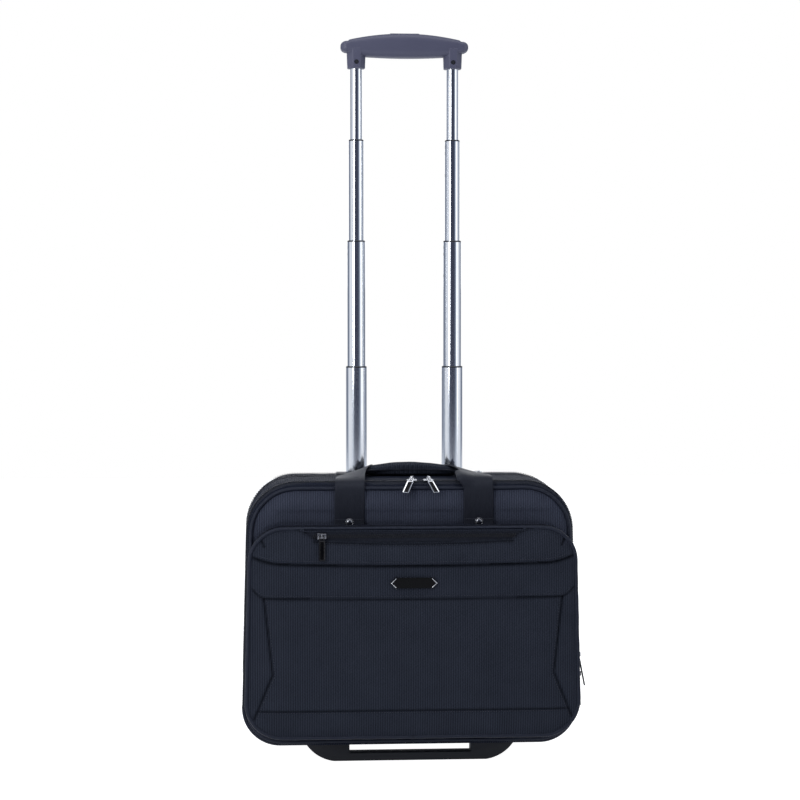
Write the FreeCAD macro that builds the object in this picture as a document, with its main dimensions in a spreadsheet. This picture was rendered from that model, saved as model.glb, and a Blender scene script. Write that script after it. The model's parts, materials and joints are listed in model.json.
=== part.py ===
import FreeCAD, Part
import math
import os

import Sketcher

# Pilot rolling flight case.  Millimetres, +Z up, +X to the user's right, -Y is the front.
# The origin is on the floor under the middle of the case.

SIZES = {
    # main case: half widths at the bottom and top, lowest and highest edge, corner radii
    "case_half_bottom": 219, "case_taper": 9, "case_low": 24, "case_high": 366,
    "case_half_top": "=case_half_bottom - case_taper",
    "case_round_top": 64, "case_round_bottom": 48,
    # line of the front section's piping, set in from the case
    "front_inset": 5, "front_low": 29, "front_high": 358,
    "front_half_bottom": "=case_half_bottom - front_inset",
    "front_half_top": "=case_half_top - front_inset",
    "front_round_top": 58, "front_round_bottom": 46,
    # line of the front pocket's piping, as wide as the front section at the bottom
    "pocket_taper": 7, "pocket_low": 43.5, "pocket_high": 311,
    "pocket_half_bottom": "=front_half_bottom",
    "pocket_half_top": "=pocket_half_bottom - pocket_taper",
    "pocket_round_top": 43, "pocket_round_bottom": 46,
    # depths, measured forwards (-Y) or backwards (+Y) from the middle
    "split_front": 38, "front_pipe_depth": 48, "pocket_pipe_depth": 96, "pocket_zip_depth": 72,
    "rear_zip_depth": 50, "case_back": 101, "board_depth": 62,
    # fabric, piping and panels
    "wall": 3, "pipe_radius": 2.75, "panel": 4, "pad_height": 5.5, "pad_border": 19,
    "seat_gap": 0.1, "joint_gap": 0.3,
    # zippers
    "coil_height": 1.2, "coil_half": 3.7, "zip_low": 75, "rear_zip_low": 110,
    "slider_length": 13, "slider_half": 5, "slider_plate": 1.4, "pivot_height": 1.8,
    "bridge_half": 1, "bridge_reach": 2, "bridge_bore": 1.15,
    "pull_bar": 0.8, "pull_thick": 1.6, "pull_arm": 1.2, "arm_offset": 2.1, "eye_depth": 5,
    "main_pull_length": 21, "main_pull_half": 4.5,
    "black_pull_length": 36, "black_pull_half": 3.2, "rear_pull_length": 22,
    "slash_pull_length": 26,
    "left_slider_x": 1.5, "right_slider_x": 23, "rear_slider_x": 98.6, "slash_slider_x": 117,
    "upper_slider_z": 143, "lower_slider_z": 118, "main_pivot_reach": 7,
    # slash pocket zipper and label plate on the pocket face
    "slash_half_top": 139, "slash_half_bottom": 124, "slash_low": 296, "slash_high": 307.5,
    "slash_slider_z": 302, "label_half": 30.5, "label_flat": 24, "label_half_height": 6.65,
    "label_height": 242.5, "label_thick": 2.4,
    # carry handle
    "strap_half": 19, "strap_offset": 84, "handle_shift": 4, "strap_thick": 2, "strap_rise": 4,
    "strap_foot": 311.5, "rivet_height": 316, "rivet_radius": 4.2, "rivet_rise": 1.6,
    "loop_back": 66, "loop_round": 59, "sleeve_half": 43, "sleeve_height": 9, "sleeve_overlap": 1.5,
    # trolley handle: places
    "tube_x": 65, "tube_y": 82, "tube_wall": 1.2,
    "tube_one": 8, "tube_two": 10, "tube_three": 12, "tube_four": 14, "tube_five": 16,
    "one_low": 758, "one_high": 938, "two_low": 622, "two_high": 818, "three_low": 452.5,
    "three_high": 682.5, "four_low": 240, "four_high": 513, "five_low": 40, "five_drop": 21,
    "lip": 2, "guide_length": 50.5, "fit_gap": 0.05, "slide_gap": 0.1,
    "lug_radius": 2, "lug_inset": 0.2, "lug_upper": 9, "lug_lower": 18, "lock_drop": 47.5,
    "plug_base": 10, "plug_wrap": 7, "plug_spigot": 15,
    # grip
    "grip_overhang": 21, "grip_half": "=tube_x + grip_overhang", "grip_end": 8.5, "grip_split": 942,
    "grip_half_depth": 15,
    "grip_top": 960, "grip_arch": 331, "grip_under": 928.5, "grip_shoulder": 8.2,
    "leg_half": 11.75, "leg_low": 913, "grip_wall": 2.5,
    "button_half": 20, "button_half_depth": 7, "button_travel": 4, "spring_radius": 3.4,
    "spring_bore": 2.4, "spring_length": 6.4, "rod_radius": 2.2, "rod_low": 772,
    "screw_height": 921, "screw_radius": 2.6,
    # wheels, foot and chassis
    "wheel_radius": 30, "wheel_inset": 79, "wheel_x": "=case_half_bottom - wheel_inset", "wheel_y": 85,
    "wheel_half": 10, "hub_radius": 20,
    "axle_radius": 4, "well_half": 14, "housing_wall": 2.5, "housing_front": 50, "housing_high": 66,
    "housing_low": 20, "housing_back": 100.5,
    "foot_half_top": 137, "foot_half_bottom": 100, "foot_gap_half": 79.5, "foot_bar": 10,
    "foot_front": 36, "foot_back": 14, "tray_inset": 54,
    "tray_half": "=case_half_bottom - tray_inset", "tray_thick": 3, "socket_high": 52,
    "foot_screw_inner": 90, "foot_screw_outer": 112, "foot_screw_radius": 2, "screw_head": 4,
    "bezel_overhang": 27, "bezel_half": "=tube_x + bezel_overhang", "bezel_thick": 2.4,
    "bezel_reach": 41, "neck_wall": 1,
}

doc = FreeCAD.newDocument("FlightCase")
sheet = doc.addObject("Spreadsheet::Sheet", "Sizes")
for row, (alias, number) in enumerate(SIZES.items(), start=1):
    sheet.set("A%d" % row, alias)
    sheet.set("B%d" % row, str(number))
    sheet.setAlias("B%d" % row, alias)
doc.recompute()

X_AXIS = FreeCAD.Vector(1, 0, 0)
Z_AXIS = FreeCAD.Vector(0, 0, 1)
UPRIGHT = FreeCAD.Rotation()
ALONG_X = FreeCAD.Rotation(FreeCAD.Vector(0, 1, 0), 90)
ALONG_Y = FreeCAD.Rotation(X_AXIS, -90)
nodes = []


def formula(words):
    """A sum of cell names and numbers, such as 'tube_y - tube_two', as a bound expression."""
    parts = str(words).split()
    return " ".join("Sizes." + part if part[0].isalpha() else part for part in parts)


def amount(words):
    """The same sum as a number."""
    total = 0.0
    sign = 1.0
    for part in str(words).split():
        if part in ("+", "-"):
            sign = 1.0 if part == "+" else -1.0
            continue
        total += sign * (float(sheet.get(part)) if part[0].isalpha() else float(part))
        sign = 1.0
    return total


def minus(words):
    """The same sum with its sign turned."""
    turned = []
    for part in ("+ " + str(words)).replace("+ - ", "- ").split():
        turned.append({"+": "-", "-": "+"}.get(part, part))
    text = " ".join(turned)
    return text[2:] if text.startswith("+ ") else "0 " + text


def put(piece, x="0", y="0", z="0", turn=UPRIGHT):
    """Place a piece, with its position bound to the sheet."""
    piece.Placement = FreeCAD.Placement(FreeCAD.Vector(amount(x), amount(y), amount(z)), turn)
    for letter, words in (("x", x), ("y", y), ("z", z)):
        piece.setExpression("Placement.Base." + letter, formula(words))
    return piece


def box(name, x, y, z, length, depth, height, turn=UPRIGHT):
    piece = doc.addObject("Part::Box", name)
    for prop, words in (("Length", length), ("Width", depth), ("Height", height)):
        piece.setExpression(prop, formula(words))
    return put(piece, x, y, z, turn)


def cylinder(name, radius, height, x="0", y="0", z="0", turn=UPRIGHT):
    piece = doc.addObject("Part::Cylinder", name)
    piece.setExpression("Radius", formula(radius))
    piece.setExpression("Height", formula(height))
    return put(piece, x, y, z, turn)


def cone(name, low_radius, high_radius, height, x, y, z):
    piece = doc.addObject("Part::Cone", name)
    piece.setExpression("Radius1", formula(low_radius))
    piece.setExpression("Radius2", formula(high_radius))
    piece.setExpression("Height", formula(height))
    return put(piece, x, y, z)


def fuse(name, pieces):
    joined = doc.addObject("Part::MultiFuse", name)
    joined.Shapes = pieces
    joined.Refine = True
    return joined


def cut(name, base, tools):
    """The base less the tools."""
    tool = tools[0]
    if len(tools) > 1:
        tool = doc.addObject("Part::MultiFuse", name + "_tools")
        tool.Shapes = tools
    result = doc.addObject("Part::Cut", name)
    result.Base = base
    result.Tool = tool
    return result


def common(name, base, tool):
    result = doc.addObject("Part::Common", name)
    result.Base = base
    result.Tool = tool
    return result


def mirrored(name, source):
    """The same piece on the other side of the case."""
    copy = doc.addObject("Part::Mirroring", name)
    copy.Source = source
    copy.Normal = X_AXIS
    return copy


def group(name, pieces):
    """Separate solids that share one node."""
    together = doc.addObject("Part::Compound", name)
    together.Links = pieces
    return together


def pair(name, piece):
    return group(name, [piece, mirrored(name + "_other", piece)])


def node(label, piece):
    piece.Label = label
    nodes.append(piece)
    return piece


# ---------------------------------------------------------------- sketches

def plane(body, role):
    return next(item for item in body.Origin.OriginFeatures if item.Role == role)


def sketch_on(body, name, role, offset="0"):
    """A sketch on one of the body's own planes, moved along that plane's normal."""
    sketch = body.newObject("Sketcher::SketchObject", name)
    sketch.AttachmentSupport = [(plane(body, role), "")]
    sketch.MapMode = "FlatFace"
    sketch.setExpression("AttachmentOffset.Base.z", formula(offset))
    return sketch


def dimension(sketch, kind, items, words):
    """A driving dimension that reads the sheet."""
    index = sketch.addConstraint(Sketcher.Constraint(kind, *items, amount(words)))
    sketch.setExpression("Constraints[%d]" % index, formula(words))


def outline_sizes(family, inset):
    low = amount(family + "_low + " + inset)
    high = amount(family + "_high") - amount(inset)
    top = amount(family + "_half_top") - amount(inset)
    bottom = amount(family + "_half_bottom") - amount(inset)
    round_top = amount(family + "_round_top") - amount(inset)
    round_bottom = amount(family + "_round_bottom") - amount(inset)
    return low, high, top, bottom, round_top, round_bottom


def case_outline(sketch, family, inset="0"):
    """The case's tapered outline with four round corners, drawn inside the named one by the inset."""
    low, high, top, bottom, round_top, round_bottom = outline_sizes(family, inset)
    lean = math.atan2(bottom - top, high - low)
    reach_top = round_top * math.tan(math.pi / 4 - lean / 2)
    reach_bottom = round_bottom * math.tan(math.pi / 4 + lean / 2)

    def spot(x, z):
        return FreeCAD.Vector(x, z, 0)

    def side_point(z, hand):
        return spot(hand * (bottom - (z - low) * math.tan(lean)), z)

    arc_ends = []
    for hand in (1, -1):
        top_end = spot(hand * (top - reach_top), high)
        side_top = side_point(high - reach_top * math.cos(lean), hand)
        bottom_end = spot(hand * (bottom - reach_bottom), low)
        side_bottom = side_point(low + reach_bottom * math.cos(lean), hand)
        arc_ends.append((top_end, side_top, side_bottom, bottom_end))
    right, left = arc_ends
    middle = {
        "right_top": spot(right[0].x, high - round_top),
        "right_bottom": spot(right[3].x, low + round_bottom),
        "left_top": spot(left[0].x, high - round_top),
        "left_bottom": spot(left[3].x, low + round_bottom),
    }

    def arc(centre, radius, start, end):
        first = math.atan2(start.y - centre.y, start.x - centre.x)
        last = math.atan2(end.y - centre.y, end.x - centre.x)
        while last < first:
            last += 2 * math.pi
        circle = Part.Circle(centre, FreeCAD.Vector(0, 0, 1), radius)
        return sketch.addGeometry(Part.ArcOfCircle(circle, first, last), False)

    def line(start, end):
        return sketch.addGeometry(Part.LineSegment(start, end), False)

    # the arcs run anticlockwise, so each has its start and end in that order
    edge_right = line(right[2], right[1])
    arc_right_top = arc(middle["right_top"], round_top, right[1], right[0])
    edge_top = line(right[0], left[0])
    arc_left_top = arc(middle["left_top"], round_top, left[0], left[1])
    edge_left = line(left[1], left[2])
    arc_left_bottom = arc(middle["left_bottom"], round_bottom, left[2], left[3])
    edge_bottom = line(left[3], right[3])
    arc_right_bottom = arc(middle["right_bottom"], round_bottom, right[3], right[2])
    loop = [edge_right, arc_right_top, edge_top, arc_left_top,
            edge_left, arc_left_bottom, edge_bottom, arc_right_bottom]
    for first, second in zip(loop, loop[1:] + loop[:1]):
        sketch.addConstraint(Sketcher.Constraint("Tangent", first, 2, second, 1))
    sketch.addConstraint(Sketcher.Constraint("Horizontal", edge_top))
    sketch.addConstraint(Sketcher.Constraint("Horizontal", edge_bottom))
    less = " + " + minus(inset)
    dimension(sketch, "DistanceY", (-1, 1, edge_top, 1), family + "_high" + less)
    dimension(sketch, "DistanceY", (-1, 1, edge_bottom, 1), family + "_low + " + inset)
    for corner in (arc_right_top, arc_left_top):
        dimension(sketch, "Radius", (corner,), family + "_round_top" + less)
    for corner in (arc_right_bottom, arc_left_bottom):
        dimension(sketch, "Radius", (corner,), family + "_round_bottom" + less)
    for half, z, edge in (("_half_top", high, edge_top), ("_half_bottom", low, edge_bottom)):
        for hand, side in ((1, edge_right), (-1, edge_left)):
            reach = amount(family + half + less)
            mark = sketch.addGeometry(Part.Point(spot(hand * reach, z)), True)
            sketch.addConstraint(Sketcher.Constraint("PointOnObject", mark, 1, edge))
            sketch.addConstraint(Sketcher.Constraint("PointOnObject", mark, 1, side))
            words = family + half + less
            dimension(sketch, "DistanceX", (-1, 1, mark, 1), words if hand > 0 else minus(words))


def profile(sketch, corners):
    """A closed outline through corners given as (x, y) or (x, y, radius).

    A radius bends the way to the next corner into an arc.  Its centre lies on the left of that
    way, or on the right where the radius has a minus sign in front.
    """
    spots = [FreeCAD.Vector(amount(corner[0]), amount(corner[1]), 0) for corner in corners]
    ends = []
    for index, corner in enumerate(corners):
        start = spots[index]
        end = spots[(index + 1) % len(spots)]
        if len(corner) == 2:
            geo = sketch.addGeometry(Part.LineSegment(start, end), False)
            ends.append((geo, 1, 2))
            continue
        words = str(corner[2])
        left = not words.startswith("-")
        size = amount(words.lstrip("-"))
        chord = end - start
        rise = math.sqrt(max(size * size - chord.Length ** 2 / 4, 0.0))
        normal = FreeCAD.Vector(-chord.y, chord.x, 0).normalize()
        centre = (start + end) * 0.5 + normal * (rise if left else -rise)
        first, last = (start, end) if left else (end, start)
        low = math.atan2(first.y - centre.y, first.x - centre.x)
        high = math.atan2(last.y - centre.y, last.x - centre.x)
        while high < low:
            high += 2 * math.pi
        circle = Part.Circle(centre, FreeCAD.Vector(0, 0, 1), size)
        geo = sketch.addGeometry(Part.ArcOfCircle(circle, low, high), False)
        ends.append((geo, 1, 2) if left else (geo, 2, 1))
        dimension(sketch, "Radius", (geo,), words.lstrip("-"))
    for index, (geo, start, end) in enumerate(ends):
        following = ends[(index + 1) % len(ends)]
        sketch.addConstraint(Sketcher.Constraint("Coincident", geo, end, following[0], following[1]))
        dimension(sketch, "DistanceX", (-1, 1, geo, start), corners[index][0])
        dimension(sketch, "DistanceY", (-1, 1, geo, start), corners[index][1])


def pad(body, name, sketch, length, back=False):
    """Pad a sketch.  On the XZ plane a pad goes towards -Y, and with back set towards +Y."""
    feature = body.newObject("PartDesign::Pad", name)
    feature.Profile = sketch
    feature.Reversed = back
    feature.setExpression("Length", formula(length))
    sketch.Visibility = False
    return feature


def fillet(body, name, base, radius, chosen):
    """Round the edges of a body's feature that the test picks."""
    doc.recompute()
    edges = ["Edge%d" % (index + 1) for index, edge in enumerate(base.Shape.Edges) if chosen(edge)]
    feature = body.newObject("PartDesign::Fillet", name)
    feature.Base = (base, edges)
    feature.setExpression("Radius", formula(radius))
    return feature


def rounded(name, base, radius, chosen):
    """A copy of a whole piece with the edges that the test picks rounded."""
    doc.recompute()
    size = amount(radius)
    feature = doc.addObject("Part::Fillet", name)
    feature.Base = base
    feature.Edges = [(index + 1, size, size) for index, edge in enumerate(base.Shape.Edges) if chosen(edge)]
    return feature


def case_slab(name, outlines, front, depth):
    """A slab or ring whose front face is at the given depth before the middle, as seen from the side.

    The outlines are (family, inset) pairs: the first is the outer one, and a second leaves a hole.
    """
    body = doc.addObject("PartDesign::Body", name)
    sketch = sketch_on(body, name + "_outline", "XZ_Plane", front)
    for family, inset in outlines:
        case_outline(sketch, family, inset)
    pad(body, name + "_pad", sketch, depth, back=True)
    return body


def piping(name, family, inset, front):
    """A closed cord swept along an outline."""
    body = doc.addObject("PartDesign::Body", name)
    path = sketch_on(body, name + "_path", "XZ_Plane", front)
    case_outline(path, family, inset)
    section = sketch_on(body, name + "_section", "YZ_Plane")
    centre = FreeCAD.Vector(-amount(front), amount(family + "_low + " + inset), 0)
    geo = section.addGeometry(Part.Circle(centre, FreeCAD.Vector(0, 0, 1), amount("pipe_radius")), False)
    dimension(section, "Radius", (geo,), "pipe_radius")
    dimension(section, "DistanceX", (-1, 1, geo, 3), minus(front))
    dimension(section, "DistanceY", (-1, 1, geo, 3), family + "_low + " + inset)
    sweep = body.newObject("PartDesign::AdditivePipe", name + "_sweep")
    sweep.Profile = section
    sweep.Spine = path
    sweep.SpineTangent = True
    return body


# ---------------------------------------------------------------- main case

def wheel_wells(name, clearance):
    """The room that the two wheel housings take."""
    well = box(name, "wheel_x - well_half - housing_wall - " + clearance,
               "housing_front - " + clearance, "housing_low - 20",
               "well_half + well_half + housing_wall + housing_wall + %s + %s" % (clearance, clearance),
               "case_back - housing_front + 30", "housing_high - housing_low + 20 + " + clearance)
    return [well, mirrored(name + "_other", well)]


def screw_holes(name, radius):
    holes = []
    for label, offset in (("inner", "foot_screw_inner"), ("outer", "foot_screw_outer")):
        hole = cylinder(name + "_" + label, radius, "case_low + 20", offset,
                        "0 - foot_front + 11", "foot_bar + 2")
        holes += [hole, mirrored(name + "_" + label + "_other", hole)]
    return holes


def main_case():
    ring = case_slab("gusset_ring", [("case", "0"), ("case", "wall")],
                     "split_front - joint_gap", "case_back + split_front - joint_gap")
    necks = cylinder("gusset_neck", "tube_five + neck_wall + seat_gap", "40", "tube_x", "tube_y",
                     "case_high - 20")
    tools = wheel_wells("gusset_well", "seat_gap") + [necks, mirrored("gusset_neck_other", necks)]
    tools += screw_holes("gusset_screw", "foot_screw_radius + seat_gap")
    node("main_gusset", cut("gusset", ring, tools))

    back_pipe = piping("back_cord", "case", "pipe_radius", "0 - case_back - pipe_radius")
    node("back_piping", cut("back_piping_cut", back_pipe, wheel_wells("pipe_well", "seat_gap")))

    panel = case_slab("back_slab", [("case", "pipe_radius + pipe_radius + seat_gap")],
                      "0 - case_back - seat_gap", "panel")
    node("back_panel", cut("back_panel_cut", panel, wheel_wells("panel_well", "seat_gap")))

    strip = case_slab("rear_coil", [("case", "0 - coil_height"), ("case", "0")],
                      "0 - rear_zip_depth + coil_half", "coil_half + coil_half")
    keep = box("rear_coil_keep", "0 - 300", "0", "rear_zip_low", "600", "200", "400")
    node("rear_zipper", common("rear_coil_cut", strip, keep))

    board = box("board_plate", "0 - tray_half", "board_depth", "case_low + wall + tray_thick + joint_gap",
                "tray_half + tray_half", "wall", "case_high - case_low - wall - wall - tray_thick - 8")
    node("trolley_board", cut("board", board, wheel_wells("board_well", "seat_gap")))


def chassis():
    tray = box("tray", "0 - tray_half", "0 - split_front + 8", "case_low + wall + seat_gap",
               "tray_half + tray_half", "case_back + split_front - 11", "tray_thick")
    socket = box("tube_socket", "0 - tube_x - tube_five - 6", "tube_y - tube_five - 0.5",
                 "case_low + wall + seat_gap", "tube_x + tube_x + tube_five + tube_five + 12",
                 "tube_five + tube_five + 1", "socket_high - case_low - wall")
    bore = cylinder("socket_bore", "tube_five + fit_gap", "60", "tube_x", "tube_y", "five_low")
    body = fuse("chassis_body", [tray, socket])
    tools = wheel_wells("tray_well", "seat_gap") + [bore, mirrored("socket_bore_other", bore)]
    tools += screw_holes("tray_screw", "foot_screw_radius + seat_gap")
    node("chassis", cut("chassis_cut", body, tools))


def front_foot():
    body = doc.addObject("PartDesign::Body", "foot_body")
    sketch = sketch_on(body, "foot_outline", "XZ_Plane", "foot_front")
    top = "case_low - seat_gap"
    profile(sketch, [
        ("0 - foot_half_top", top, "case_low + 28"),
        ("0 - foot_half_bottom", "0"),
        ("foot_half_bottom", "0", "case_low + 28"),
        ("foot_half_top", top),
        ("foot_gap_half", top),
        ("foot_gap_half", "foot_bar"),
        ("0 - foot_gap_half", "foot_bar"),
        ("0 - foot_gap_half", top),
    ])
    pad(body, "foot_pad", sketch, "foot_front - foot_back", back=True)
    node("front_foot", cut("foot_cut", body, screw_holes("foot_screw", "foot_screw_radius + seat_gap")))
    screws = []
    for label, offset in (("inner", "foot_screw_inner"), ("outer", "foot_screw_outer")):
        height = "case_low + wall + tray_thick + seat_gap"
        shank = cylinder("shank_" + label, "foot_screw_radius", height + " - foot_bar - 4", offset,
                         "0 - foot_front + 11", "foot_bar + 4")
        head = cylinder("head_" + label, "screw_head", "2", offset, "0 - foot_front + 11",
                        height + " + seat_gap")
        top = cylinder("neck_" + label, "foot_screw_radius", "1", offset, "0 - foot_front + 11",
                       height + " - 0.5")
        screw = fuse("foot_screw_" + label, [shank, top, head])
        screws += [screw, mirrored("foot_screw_%s_other" % label, screw)]
    node("foot_screws", group("foot_screw_group", screws))


def bezel():
    plate = box("bezel_plate", "0 - bezel_half", "tube_y - tube_five - neck_wall", "case_high + seat_gap",
                "bezel_half + bezel_half", "tube_five + tube_five + neck_wall + neck_wall", "bezel_thick")
    low = "case_high - bezel_reach"
    neck = cylinder("bezel_neck", "tube_five + neck_wall", "bezel_reach + 1", "tube_x", "tube_y", low)
    seat = cylinder("bezel_seat", "tube_five + fit_gap", "bezel_reach - five_drop + 5 + seat_gap",
                    "tube_x", "tube_y", low + " - 5")
    bore = cylinder("bezel_bore", "tube_four + slide_gap", "100", "tube_x", "tube_y", low + " - 10")
    body = fuse("bezel_body", [plate, neck, mirrored("bezel_neck_other", neck)])
    tools = [seat, mirrored("bezel_seat_other", seat), bore, mirrored("bezel_bore_other", bore)]
    node("handle_bezel", cut("bezel", body, tools))


# ---------------------------------------------------------------- trolley handle

def stage_tube(word, radius, low, high, lugs=True):
    """A pair of round tubes, with holes for the guide sleeve's lugs."""
    outer = cylinder(word + "_outer", radius, "%s - %s" % (high, low), "tube_x", "tube_y", low)
    inner = cylinder(word + "_inner", radius + " - tube_wall", "%s - %s + 20" % (high, low),
                     "tube_x", "tube_y", low + " - 10")
    tools = [inner]
    if lugs:
        for label, drop in (("upper", "lug_upper"), ("lower", "lug_lower")):
            tools.append(cylinder("%s_hole_%s" % (word, label), "lug_radius + seat_gap", "60",
                                  "tube_x - 30", "tube_y", "%s + lip - %s" % (high, drop), ALONG_X))
        tools.append(cylinder(word + "_hole_lock", "lug_radius + seat_gap", "30",
                              "tube_x - 30", "tube_y", "%s + lip - lock_drop" % high, ALONG_X))
    leg = cut(word + "_leg", outer, tools)
    node("tubes_" + word, pair(word + "_legs", leg))


def guide_sleeve(word, radius, inner_radius, high):
    """The plastic sleeve in a tube's top that guides the next tube, with its lip and lugs."""
    bore_radius = inner_radius + " + slide_gap"
    outer = cylinder(word + "_sleeve_outer", radius + " - tube_wall - fit_gap", "guide_length + lip - 1",
                     "tube_x", "tube_y", high + " - guide_length")
    rim = cylinder(word + "_sleeve_rim", radius, "lip - 0.8 - fit_gap", "tube_x", "tube_y",
                   high + " + fit_gap")
    crown = cone(word + "_sleeve_crown", radius, radius + " - 0.7", "0.8", "tube_x", "tube_y",
                 high + " + lip - 0.8")
    parts = [outer, rim, crown]
    for label, drop in (("upper", "lug_upper"), ("lower", "lug_lower")):
        length = "%s - lug_inset + %s - lug_inset" % (radius, radius)
        parts.append(cylinder("%s_lug_%s" % (word, label), "lug_radius", length,
                              "tube_x - %s + lug_inset" % radius, "tube_y",
                              "%s + lip - %s" % (high, drop), ALONG_X))
    parts.append(cylinder(word + "_lug_lock", "lug_radius", radius + " - lug_inset",
                          "tube_x - %s + lug_inset" % radius, "tube_y",
                          high + " + lip - lock_drop", ALONG_X))
    bore = cylinder(word + "_sleeve_bore", bore_radius, "guide_length + 20", "tube_x", "tube_y",
                    high + " - guide_length - 5")
    sleeve = cut(word + "_sleeve", fuse(word + "_sleeve_body", parts), [bore])
    node("guides_" + word, pair(word + "_sleeves", sleeve))


def end_plug(word, radius, outer_radius, low):
    """The plug on a tube's lower end that slides in the next tube."""
    cup = cylinder(word + "_plug_cup", outer_radius + " - tube_wall - slide_gap", "plug_base + plug_wrap",
                   "tube_x", "tube_y", low + " - plug_base")
    wall = cylinder(word + "_plug_wall", radius + " + fit_gap", "plug_wrap + 5", "tube_x", "tube_y", low)
    spigot = cylinder(word + "_plug_spigot", radius + " - tube_wall - fit_gap", "plug_spigot + 1",
                      "tube_x", "tube_y", low + " - 1")
    bore = cylinder(word + "_plug_bore", "rod_radius + 0.8", "60", "tube_x", "tube_y", low + " - 20")
    cupped = cut(word + "_plug_cupped", cup, [wall])
    plug = cut(word + "_plug", fuse(word + "_plug_body", [cupped, spigot]), [bore])
    node("plugs_" + word, pair(word + "_plugs", plug))


def trolley():
    stage_tube("five", "tube_five", "five_low", "case_high - five_drop", lugs=False)
    stage_tube("four", "tube_four", "four_low", "four_high - lip")
    stage_tube("three", "tube_three", "three_low", "three_high - lip")
    stage_tube("two", "tube_two", "two_low", "two_high - lip")
    stage_tube("one", "tube_one", "one_low", "one_high", lugs=False)
    guide_sleeve("four", "tube_four", "tube_three", "four_high - lip")
    guide_sleeve("three", "tube_three", "tube_two", "three_high - lip")
    guide_sleeve("two", "tube_two", "tube_one", "two_high - lip")
    end_plug("four", "tube_four", "tube_five", "four_low")
    end_plug("three", "tube_three", "tube_four", "three_low")
    end_plug("two", "tube_two", "tube_three", "two_low")
    end_plug("one", "tube_one", "tube_two", "one_low")


def grip():
    lower = doc.addObject("PartDesign::Body", "grip_lower_body")
    sketch = sketch_on(lower, "grip_lower_outline", "XZ_Plane", "0 - tube_y + grip_half_depth")
    under = "grip_split - grip_end"
    profile(sketch, [
        ("0 - grip_half", "grip_split", "grip_end"),
        ("0 - grip_half + grip_end", under),
        ("0 - tube_x - leg_half", "leg_low"),
        ("0 - tube_x + leg_half", "leg_low"),
        ("0 - tube_x + leg_half", "grip_under"),
        ("tube_x - leg_half", "grip_under"),
        ("tube_x - leg_half", "leg_low"),
        ("tube_x + leg_half", "leg_low"),
        ("grip_half - grip_end", under, "grip_end"),
        ("grip_half", "grip_split"),
    ])
    pad(lower, "grip_lower_pad", sketch, "grip_half_depth + grip_half_depth", back=True)
    front = amount("tube_y - grip_half_depth")
    back = amount("tube_y + grip_half_depth")
    split = amount("grip_split")

    def on_face(edge):
        limits = edge.BoundBox
        flat = limits.YLength < 0.01 and (abs(limits.YMin - front) < 0.01 or abs(limits.YMax - back) < 0.01)
        parting = limits.ZLength < 0.01 and abs(limits.ZMin - split) < 0.01
        return flat and not parting

    shell = rounded("grip_lower_round", lower, "grip_wall + 1.5", on_face)
    cavity = box("grip_lower_cavity", "0 - grip_half + 8", "tube_y - grip_half_depth + grip_wall",
                 "grip_split - 6", "grip_half + grip_half - 16", "grip_half_depth + grip_half_depth - 5",
                 "20")
    bore = cylinder("grip_leg_bore", "tube_one + fit_gap", "80", "tube_x", "tube_y", "leg_low - 20")
    tools = [cavity, bore, mirrored("grip_leg_bore_other", bore)]
    screw_hole = cylinder("grip_screw_hole", "screw_radius + seat_gap", "20", "tube_x",
                          "tube_y - grip_half_depth - 5", "screw_height", ALONG_Y)
    tools += [screw_hole, mirrored("grip_screw_hole_other", screw_hole)]
    node("grip_lower", cut("grip_lower_cut", shell, tools))

    upper = doc.addObject("PartDesign::Body", "grip_upper_body")
    sketch = sketch_on(upper, "grip_upper_outline", "XZ_Plane", "0 - tube_y + grip_half_depth")
    base = "grip_split + seat_gap"
    shoulder = "grip_split + grip_shoulder"
    profile(sketch, [
        ("0 - grip_half", base),
        ("grip_half", base, "grip_end"),
        ("grip_half - grip_end + 2.5", shoulder, "grip_arch"),
        ("0 - grip_half + grip_end - 2.5", shoulder, "grip_end"),
    ])
    pad(upper, "grip_upper_pad", sketch, "grip_half_depth + grip_half_depth", back=True)
    split = amount(base)
    shell = rounded("grip_upper_round", upper, "grip_wall + 1.5", on_face)
    cavity = box("grip_upper_cavity", "0 - grip_half + 12", "tube_y - grip_half_depth + grip_wall",
                 "grip_split - 5", "grip_half + grip_half - 24", "grip_half_depth + grip_half_depth - 5",
                 "10.5")
    middle = box("grip_upper_middle", "0 - button_half - 8", "tube_y - grip_half_depth + grip_wall",
                 "grip_split - 5", "button_half + button_half + 16",
                 "grip_half_depth + grip_half_depth - 5", "grip_top - grip_split + 5 - grip_wall")
    slot = box("button_slot", "0 - button_half - joint_gap",
               "tube_y - button_half_depth - joint_gap", "grip_split",
               "button_half + button_half + joint_gap + joint_gap",
               "button_half_depth + button_half_depth + joint_gap + joint_gap", "40")
    node("grip_upper", cut("grip_upper_cut", shell, [cavity, middle, slot]))

    screw = cylinder("grip_screw", "screw_radius", "4.5", "tube_x", "tube_y - grip_half_depth + 1",
                     "screw_height", ALONG_Y)
    node("grip_screws", pair("grip_screw_pair", screw))


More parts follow.
